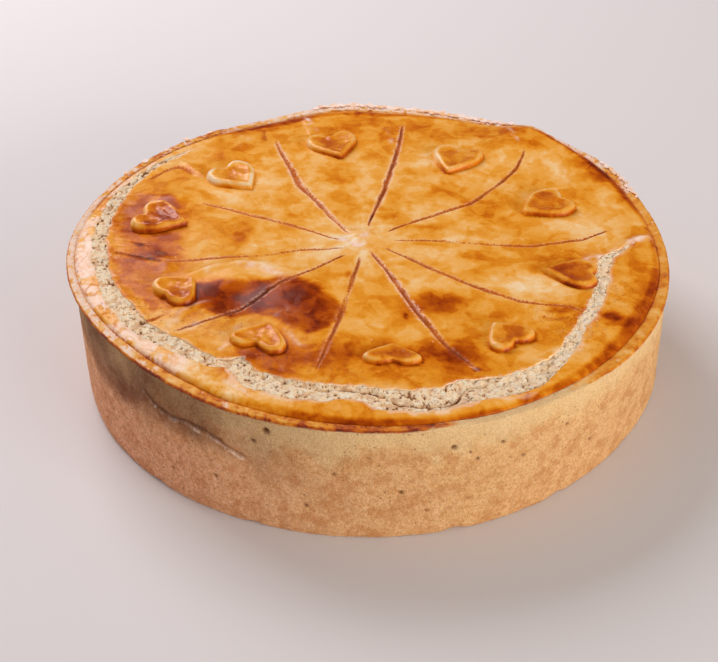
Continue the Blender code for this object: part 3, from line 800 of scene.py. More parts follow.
# Cut colours, also laid in the creases as painted shade; the painted shade of a cut's floor.
CUT, CUT_IN_DARK, CUT_FLOOR = linear(198, 94, 16), linear(108, 40, 12), linear(136, 50, 8)
BLOTCH, PORE = linear(208, 112, 34), linear(150, 66, 14)
# Painted glints on the cut lips, and on small blisters.
PALE_LIP, BLISTER = linear(252, 206, 180), linear(250, 206, 150)


def with_cuts(shader, colour, cut):
    """Browned cuts with ragged edges, darker where the glaze is dark, and painted shade along their floors.
    The creases take the same colours as painted shade.
    """
    ragged = shader.patches((0.9, 3.0, 0.7), 0.35, 0.65, -0.34, 0.34)
    edge = shader.span(shader.maths("ADD", cut, ragged), 0.20, 0.52)
    edge = shader.maths("MULTIPLY", edge, shader.span(cut, 0.0, 0.15))
    broken = shader.patches((1.1, 3.0, 0.6), 0.36, 0.52, 0.55, 1.0)
    cut_colour = shader.mix(shader.span(shader.mask("browning"), 0.68, 0.90), CUT, CUT_IN_DARK)
    colour = shader.cover(colour, cut_colour, edge, broken)
    return shader.cover(colour, CUT_FLOOR, shader.span(cut, 0.8, 1.0, 0.0, 0.5))


def with_flaws(shader, colour):
    """Blotches and pores in the speckled places, painted glints on the lips beside the cuts, pale blister
    dots drawn as painted glints, and flour with painted highlights and sheen.
    """
    speckled, lips, floury = shader.masks("speckled", "lips", "floury")
    colour = shader.cover(colour, BLOTCH, shader.patches((3.4, 4.0, 0.65), 0.52, 0.60, 0.0, 0.45), speckled)
    pores = shader.maths("MULTIPLY", shader.patches((1.2, 3.0), 0.58, 0.68), speckled)
    colour = shader.cover(colour, PORE, pores, 0.7)
    # painted glints along the cut lips
    colour = shader.cover(colour, PALE_LIP, lips, shader.patches((1.3, 4.0, 0.65), 0.46, 0.56, 0.0, 0.85))
    # pale dots drawn as painted glints on small blisters
    colour = shader.cover(colour, BLISTER, shader.span(shader.dots(9.0), 0.03, 0.05, 0.7, 0.0))
    return shader.cover(colour, flour_colour(shader), floury, 0.9)


def lid_material():
    shader = Shader("glazed_lid_pastry")
    browning, cut, crumb, hollow = shader.masks("browning", "cut", "crumb", "hollow")
    colour = with_flaws(shader, with_cuts(shader, glaze_colour(shader, browning), cut))
    colour = shader.cover(colour, crumb_colour(shader, hollow), crumb)
    gloss = shader.patches((5.0, 5.0), 0.3, 0.7, 0.13, 0.22)
    roughness = shader.span(crumb, 0.0, 1.0, gloss, 0.95)
    rough = shader.bump(shader.maths("MULTIPLY", cut, shader.noise(0.9, 3.0, 0.7)), 0.6)
    broad = shader.bump(shader.noise(1.6, 5.0, 0.65), 0.08, rough)
    fine = shader.bump(shader.noise(0.35, 2.0, 0.6), 0.03, broad)
    return shader.dress(colour=colour, roughness=roughness, level=0.09, tint=SHEEN, normal=fine)


def crumb_material():
    shader = Shader("open_crumb")
    colour = crumb_colour(shader, shader.mask("hollow"))
    normal = shader.bump(shader.noise(0.8, 4.0, 0.75), 0.5)
    return shader.dress(colour=colour, roughness=0.95, level=0.2, normal=normal)


# Colours of the wall by its height, and of its grain and flaws, and the painted shade in its pits and over
# its crack.
WALL = (
    (0.0, linear(218, 160, 98)),
    (0.45, linear(218, 162, 100)),
    (0.68, linear(222, 168, 104)),
    (0.78, linear(226, 188, 128)),
    (1.0, linear(230, 196, 140)),
)
SANDY, TAN, GRAIN = linear(246, 208, 156), linear(196, 128, 66), linear(150, 92, 48)
PEPPER, PINHOLE, PIT = linear(158, 100, 56), linear(140, 92, 56), linear(120, 74, 42)
# What the wall's colour is multiplied by for painted bounce light, for painted shade under the rim, and by
# the grit in both.
ROSY_TINT = (1.36, 1.17, 1.58, 1.0)
SHADE_TINT = (0.26, 0.13, 0.11, 1.0)
GRIT_TINT = (0.66, 0.56, 0.50, 1.0)


def wall_colour(shader):
    """Pale baked crust, sandy and tan in places, with grain, and painted shade in its pits and over its
    crack.
    """
    height, pit = shader.masks("height", "pit")
    cloudy = shader.patches((14, 5.0, 0.6), 0.3, 0.7, -0.16, 0.16)
    colour = shader.ramp(shader.maths("ADD", height, cloudy, clamp=True), *WALL)
    colour = shader.cover(colour, SANDY, shader.patches((1.4, 6.0, 0.75), 0.38, 0.62, 0.0, 0.65))
    below = shader.span(height, 0.70, 0.84, 1.0, 0.2)
    colour = shader.cover(colour, TAN, shader.patches((6.0, 6.0, 0.7), 0.46, 0.62, 0.0, 0.60), below)
    colour = shader.cover(colour, GRAIN, shader.patches((0.9, 3.0, 0.7), 0.60, 0.68, 0.0, 0.55), below)
    colour = shader.cover(colour, PEPPER, shader.patches((0.6, 3.0, 0.7), 0.48, 0.60, 0.0, 0.30))
    colour = shader.cover(colour, PINHOLE, shader.span(shader.dots(4.2), 0.06, 0.11, 0.75, 0.0))
    return shader.cover(colour, PIT, pit)


def tinted(shader, colour):
    """The wall's colour with painted bounce light low on the left, and painted shade under the rim."""
    rosy, shaded = shader.masks("rosy", "shaded")
    colour = shader.cover(colour, ROSY_TINT, rosy, blend="MULTIPLY")
    grit = shader.patches((1.3, 5.0, 0.75), 0.46, 0.60, 0.0, 0.9)
    colour = shader.cover(colour, GRIT_TINT, shader.maths("MAXIMUM", rosy, shaded), grit, "MULTIPLY")
    return shader.cover(colour, SHADE_TINT, shaded, blend="MULTIPLY")


def case_material():
    shader = Shader("baked_crust_pastry")
    glazed, browning, crumb = shader.masks("glazed", "browning", "crumb")
    colour = shader.cover(tinted(shader, wall_colour(shader)), glaze_colour(shader, browning), glazed)
    broken = shader.maths("MAXIMUM", shader.patches((1.0, 4.0, 0.65), 0.42, 0.52, 0.1, 1.0), glazed)
    colour = shader.cover(colour, flour_colour(shader), crumb, broken)
    roughness = shader.span(glazed, 0.0, 1.0, 0.88, 0.42)
    broad = shader.bump(shader.noise(1.4, 6.0, 0.75), 0.5)
    fine = shader.bump(shader.dots(0.9), 0.10, broad)
    return shader.dress(colour=colour, roughness=roughness, level=0.2, normal=fine)


def heart_material():
    shader = Shader("glazed_heart_pastry")
    colour = glaze_colour(shader, shader.mask("browning"))
    gloss = shader.patches((4.0,), 0.3, 0.7, 0.14, 0.26)
    normal = shader.bump(shader.noise(1.2, 4.0, 0.6), 0.12)
    return shader.dress(colour=colour, roughness=gloss, level=0.3, tint=SHEEN, normal=normal)


def flake_material():
    shader = Shader("pale_flakes")
    colour = shader.mix(shader.patches((3.0,), 0.45, 0.65), FLOURY, linear(244, 186, 122))
    return shader.dress(colour=colour, roughness=0.7, level=0.3)


# ---------------------------------------------------------------- the lid

BUNCHED_SPOKES = 7  # to each side of a score line
BUNCH_WIDTH = 2.6  # in half widths of the cut


def bunch(line, distance, span):
    """How far a score line's bunched spokes reach to each side of it, in degrees."""
    return np.minimum(np.degrees(BUNCH_WIDTH * (line[0] * MM) / np.maximum(distance, MM)), span / 5)


def spoke_directions(turn, distance):
    """Spokes of the lid: one follows each score line, and its neighbours bunch at the cut's edges."""
    spokes, bunched = LID_SPOKES_BETWEEN_LINES, BUNCHED_SPOKES
    number, step = turn // spokes, turn % spokes
    first, second = SCORE_LINES[number], SCORE_LINES[(number + 1) % len(SCORE_LINES)]
    start = line_direction(first, distance)
    span = (line_direction(second, distance) - start) % 360
    before, after = bunch(first, distance, span), bunch(second, distance, span)
    if step <= bunched:
        return start + before * step / bunched
    if step >= spokes - bunched:
        return start + span - after * (spokes - step) / bunched
    return start + before + (span - before - after) * (step - bunched) / (spokes - 2 * bunched)


CALM_RADIUS = 100 * MM


def skin_distance(share, direction):
    """Rings of the skin: round in the middle, and along the crack's inner edge at the end."""
    inner, _, _ = crack_at(direction)
    bend = smooth_step(share, 0.45, 1.0)
    return share * (CALM_RADIUS + (inner - CALM_RADIUS) * bend)


SKIN_RINGS = np.concatenate(
    [np.linspace(0.014, 0.10, 6), np.linspace(0.118, 0.945, 52), np.linspace(0.955, 1.0, 8)]
)


def lid_directions():
    """A direction for each ring and spoke of the skin."""
    spokes = LID_SPOKES_BETWEEN_LINES * len(SCORE_LINES)
    distance = np.repeat(SKIN_RINGS[:, None] * CALM_RADIUS, spokes, axis=1)
    for _ in range(4):
        direction = np.stack([spoke_directions(turn, distance[:, turn]) for turn in range(spokes)], axis=1)
        distance = skin_distance(SKIN_RINGS[:, None], direction)
    return direction, distance


def outer_rings(direction):
    """Rings through the crack, over the border and down the lid's edge: distance, drop, how much is crumb."""
    inner, outer, torn = crack_at(direction)
    tear = torn * (MM * column(CRACK, 3, direction) + 1.2 * MM)
    wall = np.minimum(0.12 * MM, (outer - inner) / 8)
    rows = [
        (inner + wall, torn * 0.25 * MM, 0.7),
        (inner + 1.5 * wall, tear * 0.6, 1.0),
        (inner + 2 * wall, tear, 1.0),
        ((inner + outer) / 2, tear, 1.0),
        (outer - 2 * wall, tear, 1.0),
        (outer - 1.5 * wall, tear * 0.6, 1.0),
        (outer - wall, torn * 0.25 * MM, 0.7),
    ]
    edge = lid_edge(direction)
    drop_share, width_share = (column(SHOULDER_SHARES, number, direction) for number in (1, 2))
    flat_end = edge - SHOULDER[0][0] * MM * width_share
    for share in np.linspace(0.0, 1.0, 12)[:-1]:
        rows.append((outer + (flat_end - outer) * share, 0.0, 0.0))
    for inset, down in SHOULDER:
        rows.append((edge - inset * MM * width_share, down * MM * drop_share, 0.0))
    return rows


def lid_rings():
    """Each ring of the lid: direction, distance, drop below the skin, and how much is crumb.

    The last ring is the one before it again, for the foot.
    """
    direction, distance = lid_directions()
    skin = np.zeros_like(distance)
    last = direction[-1]
    rows = outer_rings(last)
    rows.append(rows[-1])
    parts = [[np.broadcast_to(part, last.shape) for part in parts] for parts in zip(*rows)]
    rings = [np.vstack([start, *more]) for start, more in zip((distance, skin, skin), parts)]
    return np.vstack([direction] + [last] * len(rows)), *rings


def torn_lip(direction, distance):
    """The skin curls up a little along the torn edges."""
    inner, outer, torn = crack_at(direction)
    near_inner = hump(np.minimum(distance - inner, 0.0), 2.2 * MM) * (distance <= inner + MM)
    near_outer = hump(np.maximum(distance - outer, 0.0), 1.8 * MM) * (distance >= outer - MM)
    uneven = 1.0 + 0.6 * jag(direction, 6, 51)
    return torn * CRACK_LIP * uneven * np.maximum(near_inner, 0.8 * near_outer)


def heart_contact(x, y):
    """The painted contact shadow where the lid meets a heart: most at the heart's front and right."""
    total = np.zeros(np.shape(x))
    for row in HEARTS:
        outline = heart_places(row, 48)
        away, _ = to_polyline(x, y, outline + outline[:1])
        facing = facing_front(x - row[0] * MM, y - row[1] * MM)
        total = np.maximum(total, facing * hump(away, 0.7 * MM))
    return total


def facing_front(x, y):
    """1 on a heart's front and right, 0 at its back."""
    away = np.maximum(np.hypot(x, y), 0.01 * MM)
    return np.clip(0.45 + (0.35 * x - 0.9 * y) / away, 0.0, 1.0)


def rim_band(direction, distance):
    """How browned the lid's rounded edge is."""
    inset = (lid_edge(direction) - distance) / MM
    amount, width = column(RIM_LOOKS, 1, direction), column(RIM_LOOKS, 2, direction)
    wander = 0.7 * jag(direction, 9, 181)
    return amount * smooth_step(width + wander - inset, -0.8, 1.4)


def floury_border(direction, distance):
    """The border by the crack is floury, with golden plates of glaze left on it."""
    inner, outer, torn = crack_at(direction)
    places = in_space(*from_star(direction, distance))
    wander = 1.8 * MM * layered_noise(places, 7, 4, 191)
    reach = column(RIM_LOOKS, 3, direction) * MM + wander
    outside = smooth_step(outer + reach - distance, -0.4 * MM, 0.6 * MM) * (distance >= outer - 0.2 * MM)
    broken = layered_noise(places, 7, 5, 171) + 0.35 * layered_noise(places, 2.6, 3, 172)
    plates = smooth_step(broken + 0.26 * hump(turn_between(direction, 235), 16), 0.08, 0.12)
    strength = column(RIM_LOOKS, 4, direction) * (1.0 - 0.95 * plates)
    ragged = 0.8 * MM * (0.1 + 2.6 * layered_noise(places, 2, 3, 192))
    inside = 0.35 * smooth_step(distance - inner + ragged, -0.3 * MM, 0.4 * MM)
    inside = inside * (distance < inner + 0.2 * MM)
    return np.minimum(torn * 2, 1.0) * np.maximum(outside * strength, inside)


# Where the glaze is full of fine dark pores: x, y, half widths, angle, how full.
SPECKLED = (
    (-104, 12, 8, 30, 0, 1.0), (-88, -42, 18, 14, -40, 1.0), (-40, -80, 26, 10, 0, 0.8),
    (5, -90, 44, 9, 4, 0.5), (75, -58, 14, 16, 20, 0.9), (100, -40, 9, 18, 20, 0.7),
    (-92, -15, 12, 12, 0, 0.8), (-62, -58, 18, 9, -20, 0.9), (40, -52, 16, 6, 0, 0.4),
)


def speckled_places(x, y):
    return np.clip(sum(patch(x, y, row) for row in SPECKLED), 0.0, 1.0)


def make_lid(material):
    direction, distance, drop, crumb = lid_rings()
    x, y = from_star(direction, distance)
    _, outer, torn = crack_at(direction)
    on_skin = 1 - smooth_step(distance, outer - 2 * MM, outer)
    depth, brown, lips = [part * on_skin for part in cut_depth(direction, distance)]
    # Creases are laid into the cut mask as painted shade.
    brown = np.maximum(brown, 0.9 * on_skin * np.clip(-creased(x, y) / (0.5 * MM), 0.0, 1.0))
    floury = floury_border(direction, distance)
    layers, layer_edges = terraces(x, y, 9, 631)
    layered = torn * hump(turn_between(direction, 205), 48) * smooth_step(distance, outer, outer + MM)
    z = lid_height(x, y) + torn_lip(direction, distance) - depth - drop - 0.25 * MM * floury
    z = z + 0.9 * MM * layered * layers
    z[-1] = LID_FOOT
    lid = ring_mesh("lid_pastry", in_space(x, y, z), first=(*STAR, z[0].mean()), last=(*STAR, LID_FOOT))
    # Paler along the cut lips: a painted highlight.
    browning = lid_browning(x, y) + rim_band(direction, distance) - 0.10 * lips
    pale_side = 0.15 * hump(turn_between(direction, 230), 44)
    browning = browning - pale_side * torn * smooth_step(distance, outer - MM, outer + MM)
    # Painted contact shadow where the lid meets the hearts, a painted highlight on the ridges and painted
    # shade in the creases.
    browning = browning + 0.30 * heart_contact(x, y) - 0.08 * creased(x, y) / MM
    browning = browning + 0.24 * layered * layer_edges
    set_masks(lid, (0.3, 0.4), browning=browning)
    set_masks(
        lid,
        (0.0, 0.4),
        cut=brown,
        lips=lips,
        crumb=crumb * np.minimum(torn * 1.5, 1.0),
        # the pale border, with painted highlights and sheen along the ridges
        floury=np.maximum(floury * (1 - 0.6 * layered * layer_edges), streaked(x, y)),
        # painted shade, darker where the crumb lies deeper
        hollow=np.clip(drop / (6 * MM), 0.0, 0.4) * crumb,
        speckled=speckled_places(x, y),
    )
    return finish_piece(lid, material, 42, "glazed_lid", "lid")


# ---------------------------------------------------------------- the crumb in the crack

CRUMB_FROM, CRUMB_TO = 138.0, 362.0
CRUMB_ACROSS = 32
CRUMB_TUCK = 0.7 * MM


def crumb_surface(direction, distance):
    """The crumb's height, and how much painted shade each place gets in its pores, tears, gaps and low
    places.
    """
    x, y = from_star(direction, distance)
    base = lid_height(x, y) - crumb_drop(direction, distance)
    places = in_space(x, y, base)
    clumps = grains(places, 2.0, 201)
    rough = layered_noise(places, 2.6, 4, 221)
    pores = smooth_step(layered_noise(places, 1.1, 3, 231), 0.22, 0.42)
    thread = np.abs(layered_noise(places, 5.0, 4, 241))
    tears = smooth_step(0.04 - thread, 0.0, 0.04) * smooth_step(smooth_noise(places, 5, 251), 0.0, 0.4)
    between = smooth_step(clumps, 0.50, 0.85)
    low = smooth_step(-rough, -0.05, 0.40)
    open_places = np.maximum(np.maximum(0.8 * pores, 0.9 * tears), 0.46 * np.maximum(between, low))
    height = base - 0.6 * MM * (clumps**2 - 0.25) + 0.9 * MM * rough - 0.6 * MM * np.maximum(pores, tears)
    return height, open_places


def make_crumb(material):
    direction = np.linspace(CRUMB_FROM, CRUMB_TO, CRUMB_SPOKES)[None, :]
    share = np.linspace(0.0, 1.0, CRUMB_ACROSS)[:, None]
    inner, outer, _ = crack_at(direction)
    distance = inner - CRUMB_TUCK + (outer - inner + 2 * CRUMB_TUCK) * share
    direction = np.broadcast_to(direction, distance.shape)
    x, y = from_star(direction, distance)
    z, open_places = crumb_surface(direction, distance)
    tucked = np.maximum(inner - distance, distance - outer)
    z = z - 1.5 * MM * smooth_step(tucked, 0.0, CRUMB_TUCK)
    top = np.stack([x, y, z], axis=-1)
    under = top.copy()
    under[..., 2] -= 2.5 * MM
    rings = np.concatenate([top, under[::-1], top[:1]])
    strip = ring_mesh("open_crumb", rings, closed=False)
    # Painted shade: darker where the crumb lies deep, and less of it towards the right.
    deep = smooth_step(crumb_drop(direction, distance), 1.4 * MM, 2.4 * MM)
    hollow = np.clip(0.9 * open_places + 0.5 * deep, 0.0, 0.95)
    hollow = hollow * (1 - 0.6 * hump(turn_between(direction, 328), 30))
    hollow = np.concatenate([hollow, hollow[::-1], hollow[:1]])
    set_masks(strip, (), hollow=hollow)
    close_up(strip, seam=True)
    return finish_piece(strip, material, 180, "baked_crust", "lid")


# ---------------------------------------------------------------- the case

# Pits in the wall: direction, height, radius and depth.
PITS = (
    (250.4, 45.8, 1.4, 1.2), (248, 40.1, 0.9, 0.6), (282.5, 40.2, 1.1, 1.1), (291.5, 38, 0.8, 0.8),
    (286.9, 33.1, 0.8, 0.7), (295.8, 28.6, 0.7, 0.7), (273.5, 21.6, 0.9, 0.8), (262, 30, 0.7, 0.6),
    (240, 18, 0.7, 0.6), (305, 35, 0.7, 0.6), (278, 12, 0.6, 0.5), (230, 12, 0.7, 0.6), (312, 20, 0.7, 0.6),
    (257, 14, 0.8, 0.6), (285.5, 36.8, 0.6, 0.5), (268, 38, 0.5, 0.5), (60, 30, 0.9, 0.8),
    (95, 20, 0.8, 0.7), (130, 36, 1, 0.9), (160, 22, 0.8, 0.7), (20, 15, 0.8, 0.7),
)
# A raised crack that climbs the wall at the left: directions and heights.
WALL_CRACK = (
    (222.5, 43), (225, 39), (227.5, 36.2), (230.5, 36), (234.5, 36.8), (238.5, 36.6), (241.5, 34.2),
    (244.2, 31.8), (247.5, 29.4),
)
# Chips out of the bottom edge: direction, half width and height.
CHIPS = (
    (283.1, 3.6, 1.5), (304.7, 3, 1.4), (247, 3, 0.9), (226, 3.5, 0.9), (180, 4, 1.1), (75, 4, 1.2),
    (120, 3, 1),
)
# The ledge: share of the way out, drop under the rim's height.
LEDGE_PROFILE = (
    (0, 1.6), (0.1, 1.3), (0.16, 0.95), (0.24, 0.78), (0.38, 0.7), (0.55, 0.66), (0.7, 0.66), (0.82, 0.72),
    (0.9, 0.86), (0.95, 1.05), (0.98, 1.3), (1, 1.65),
)
# The ledge's looks: direction, browning, how much of it is pale and flaky, how ragged it is,
# how brown its outer edge is, how much lower it lies, and how deep its inner crease is.
LEDGE_LOOKS = (
    (0, 0.46, 0, 0.3, 0.16, 0.2, 0.6), (20, 0.4, 0.3, 0.6, 0.1, 0, 0.5), (32, 0.34, 0.6, 0.8, 0, 0, 0.6),
    (46, 0.34, 0.7, 1, 0, 0, 0.6), (54, 0.38, 0.3, 0.5, 0.1, 0, 0.5), (64, 0.3, 0.8, 1, 0, 0, 0.5),
    (95, 0.28, 0.9, 1, 0, 0, 0.5), (112, 0.32, 0.6, 0.8, 0.1, 0, 0.6), (126, 0.46, 0.2, 1, 0.2, 0, 0.7),
    (150, 0.42, 0.4, 1, 0.2, 0, 0.7), (170, 0.26, 0.85, 0.7, 0.25, 0, 0.6),
    (190, 0.24, 0.9, 0.5, 0.36, 0.1, 0.6), (215, 0.32, 0.62, 0.6, 0.46, 0.2, 0.8),
    (235, 0.42, 0.18, 0.7, 0.36, 0.4, 1), (250, 0.46, 0.15, 0.9, 0.18, 0.7, 1),
    (270, 0.62, 0.05, 1, 0.22, 1, 1), (287, 0.54, 0, 0.8, 0.18, 0.9, 0.8),
    (300, 0.42, 0, 0.3, 0.1, 0.5, 0.2), (320, 0.46, 0, 0.3, 0.1, 0.4, 0.3),
    (335, 0.5, 0, 0.4, 0.12, 0.3, 0.6),
)
# The lower edge of the painted shade under the rim at the left: direction, height, how dark.
SHADE_EDGE = (
    (178, 44, 0), (195, 38, 0.7), (208, 30, 0.95), (218, 31, 1), (226, 36, 1), (231, 35, 0.9),
    (239, 37, 0.8), (245, 31, 0.6), (250, 26, 0.4), (258, 18, 0.2), (268, 10, 0),
)
# Where the ledge isn't glazed: direction, spread, how much less of it.
BARE_LEDGE = (295, 19, 2.6)
WALL_RINGS = 76


def star_to_wall(direction, share):
    rim = star_to(rim_radius, direction)
    base = star_to(base_radius, direction)
    lip = LIP_WIDTH + humps_round_rim(WIDE_LIPS, direction)
    return base + (rim - lip - base) * share


RIM_DEGREE = math.radians(1) * RIM_RADIUS  # the length of a degree round the rim


def round_from(direction, at):
    """How far round the rim each direction is from another, as a length."""
    return turn_between(direction, at) * math.radians(1) * RIM_RADIUS


def wall_crack(direction, height, places):
    """The wall's raised crack: where it is torn, and the painted shadow over it."""
    line = [(at * RIM_DEGREE, up * MM) for at, up in WALL_CRACK]
    _, along = to_polyline(direction % 360 * RIM_DEGREE, height, line)
    ends = smooth_step(along, 0.0, 0.1) * smooth_step(1 - along, 0.0, 0.1)
    wander = 1.5 * MM * layered_noise(places, 5, 5, 321)
    ragged = np.clip(0.6 + 2.0 * layered_noise(places, 3, 4, 323), 0.0, 1.0)
    path = np.interp(direction % 360, [at for at, _ in WALL_CRACK], [up * MM for _, up in WALL_CRACK])
    above = height - path
    return ends * ragged * hump(above + wander, 0.55 * MM), ends * hump(above - 1.1 * MM + wander, 0.8 * MM)


def wall_relief(direction, height):
    """How far the wall lies in from its smooth form, the painted shade in its pits and over its crack, and
    its torn crack.
    """
    places = round_the_rim(direction, height)
    inward = 0.25 * MM * (1.0 - layered_noise(places, 16, 3, 301))
    inward = inward + 0.16 * MM * (1.0 - layered_noise(places, 3.2, 3, 311))
    pit = np.zeros(np.shape(inward))
    for at, up, radius, depth in PITS:
        away = np.hypot(round_from(direction, at), height - up * MM)
        hole = np.exp(-((away / (radius * MM)) ** 4))
        inward = inward + depth * MM * hole
        pit = np.maximum(pit, hole)
    torn, shadow = wall_crack(direction, height, places)
    return inward - 0.75 * MM * torn + 0.6 * MM * shadow, np.maximum(pit, 0.62 * shadow), torn


def wall_foot(direction):
    """The height of the wall's ragged foot, with chips out of it."""
    chips = sum(up * MM * hump(round_from(direction, at), wide * MM) for at, wide, up in CHIPS)
    return 0.25 * MM * (1 + jag(direction, 5, 351)) + chips


LEDGE_TUCK = 0.5 * MM  # how far the ledge runs in under the lid's edge
LEDGE_LEVEL = 0.7  # the drop of the ledge's flat part; only what is lower follows the crease


def ledge_rings(direction):
    """Rings from under the lid, up the groove and over the ledge: points and share of the way out."""
    ragged, lower, crease = (column(LEDGE_LOOKS, number, direction) for number in (3, 5, 6))
    around = round_the_rim(direction)
    uneven = 0.22 * MM * layered_noise(around, 14, 3, 331)
    inner = lid_edge(direction) - LEDGE_TUCK
    outer = star_to(rim_radius, direction)
    outer = outer + ragged * 0.45 * MM * (layered_noise(around, 3, 3, 361) - 0.4)
    yield in_space(*from_star(direction, inner), LID_BED), 0.0
    for share, drop in LEDGE_PROFILE:
        x, y = from_star(direction, inner + (outer - inner) * share)
        flakes = layered_noise(in_space(x, y), 2.6, 3, 341)
        layers, _ = terraces(x, y, 7, 641)
        flat = min(drop, LEDGE_LEVEL)
        sunk = MM * (flat + (drop - flat) * (1.0 if share > 0.5 else crease)) + MM * lower
        rough = uneven + MM * ragged * (0.30 * flakes + 0.50 * layers)
        yield in_space(x, y, rim_height(x, y) - sunk + smooth_step(share, 0.0, 0.3) * rough), share


def case_rings(direction):
    """Rings from under the lid to under the foot: points, share of the ledge, painted pit and crack shade,
    and tears.
    """
    plain = np.zeros(direction.shape)
    rows = [(points, share, plain, plain) for points, share in ledge_rings(direction)]
    wall_top, foot = rows[-1][0][:, 2] - 0.5 * MM, wall_foot(direction)
    for share in np.linspace(1.0, 0.0, WALL_RINGS):
        height = foot + (wall_top - foot) * share
        inward, pit, torn = wall_relief(direction, height)
        near_foot = hump(height - foot, 1.3 * MM)
        distance = star_to_wall(direction, height / WALL_HEIGHT) - inward - 0.5 * MM * near_foot
        rows.append((in_space(*from_star(direction, distance), height), 1.0, pit, torn))
    under = rows[-1][0] * (1 - 1.6 * MM / RIM_RADIUS)
    under[:, 2] = 0.0
    rows.append((under, 1.0, plain, plain))
    return [np.stack(parts) for parts in zip(*rows)]


def wall_shade(direction, x, y, z):
    """Masks of the wall's left side: painted shade under the rim, and painted bounce light lower down."""
    mottled = layered_noise(in_space(x, y, z), 12, 4, 431)
    edge, strength = MM * column(SHADE_EDGE, 1, direction), column(SHADE_EDGE, 2, direction)
    shade = strength * smooth_step(z - edge + 7 * MM * mottled, -9 * MM, 4 * MM)
    left = hump(turn_between(direction, 215), 38)
    rosy = 0.85 * left * smooth_step(z / WALL_HEIGHT + 0.1 * mottled, 1.0, 0.35)
    return 0.75 * (shade * (0.9 + 0.6 * mottled)), rosy


def make_case(material):
    direction = np.linspace(0.0, 360.0, CASE_SPOKES, endpoint=False)
    rings, shares, pits, tears = case_rings(direction)
    case = ring_mesh("case_pastry", rings, first=(*STAR, LID_BED), last=(0, 0, 0))
    x, y, z = np.moveaxis(rings, -1, 0)
    shaded, rosy = wall_shade(direction, x, y, z)
    glazed, browning, crumb = ledge_looks(direction, shares[:, None], x, y, z)
    # The crack's torn ridge is laid pale: torn crumb, and a painted highlight on the ridge.
    crumb = np.maximum(crumb, 0.75 * tears)
    set_masks(case, (1.0, 0.0), height=z / WALL_HEIGHT)
    set_masks(case, (0.5, 0.5), browning=browning)
    set_masks(case, (0.0, 0.0), pit=pits, shaded=shaded, rosy=rosy, glazed=glazed, crumb=crumb)
    return finish_piece(case, material, 50, "baked_crust", "crust_case")


def ledge_looks(direction, share, x, y, z):
    """Masks of the case: where it is glazed, how brown, and where it is pale and flaky."""
    brown, flaky, ragged, outer_line, lower, crease = (
        column(LEDGE_LOOKS, number, direction) for number in range(1, 7)
    )
    places = in_space(x, y)
    _, layer_edges = terraces(x, y, 7, 641)
    below = (rim_height(x, y) - z) / MM
    end = 2.2 + lower + 0.5 * layered_noise(places, 6, 3, 401)
    end = end - BARE_LEDGE[2] * hump(turn_between(direction, BARE_LEDGE[0]), BARE_LEDGE[1])
    browning = brown + 0.24 * layered_noise(places, 4, 5, 411)
    browning = browning + outer_line * smooth_step(share, 0.84, 0.93) + 0.10 * smooth_step(share, 0.97, 1.0)
    browning = browning + 0.30 * crease * hump(share - 0.12, 0.08)
    browning = browning + 0.25 * layer_edges * ragged
    pale = flaky - 0.5 * layer_edges
    crumb = smooth_step(pale + 0.75 * layered_noise(places, 3, 4, 421), 0.42, 0.60)
    crumb = crumb * (1 - smooth_step(share, 0.80, 0.90) * smooth_step(outer_line, 0.0, 0.2))
    crumb = crumb * smooth_step(share, 0.10, 0.25) * smooth_step(end - below, 0.2, 0.7)
    return smooth_step(end - below, -0.25, 0.25), np.clip(browning, 0.0, DARKEST), 0.85 * crumb


# ---------------------------------------------------------------- the hearts

def rounded(corners, count):
    """A smooth closed curve that follows a few corners."""
    place = np.arange(count) * len(corners) / count
    corner = place.astype(int)
    part = (place - corner)[:, None]
    weights = (
        (1 - part) ** 3,
        3 * part**3 - 6 * part**2 + 4,
        -3 * part**3 + 3 * part**2 + 3 * part + 1,
        part**3,
    )
    around = [corners[(corner + step - 1) % len(corners)] for step in range(4)]
    return sum(weight * point for weight, point in zip(weights, around)) / 6


def heart_outline(count, notch):
    """Points round a heart about one unit wide and one unit long, its point towards +X."""
    turn = np.arange(HEART_CAGE_POINTS) * (2 * math.pi / HEART_CAGE_POINTS)
    across = (1 - HEART_BLUNTNESS) * np.sin(turn) ** 3 + HEART_BLUNTNESS * np.sin(turn)
    along = (13 * np.cos(turn) - 5 * np.cos(2 * turn) - 2 * np.cos(3 * turn) - np.cos(4 * turn)) / 16
    along = along + (1 - notch) * HEART_NOTCH * np.maximum(np.cos(turn), 0.0) ** 3
    low, high = along.min(), along.max()
    corners = np.stack([(high + low - 2 * along) / (2 * (high - low)), across / 2], axis=-1)
    return rounded(corners, count)


def heart_places(row, count):
    """The heart's outline on the lid."""
    x, y, point, width, length, _, notch = row[:7]
    along, across = heart_outline(count, notch).T
    turn = math.radians(point)
    px = x + length * along * math.cos(turn) - width * across * math.sin(turn)
    py = y + length * along * math.sin(turn) + width * across * math.cos(turn)
    return list(zip(px * MM, py * MM))


HEART_SPOKES, HEART_RINGS = 128, 26
HEART_ROUNDING = 2.6 * MM


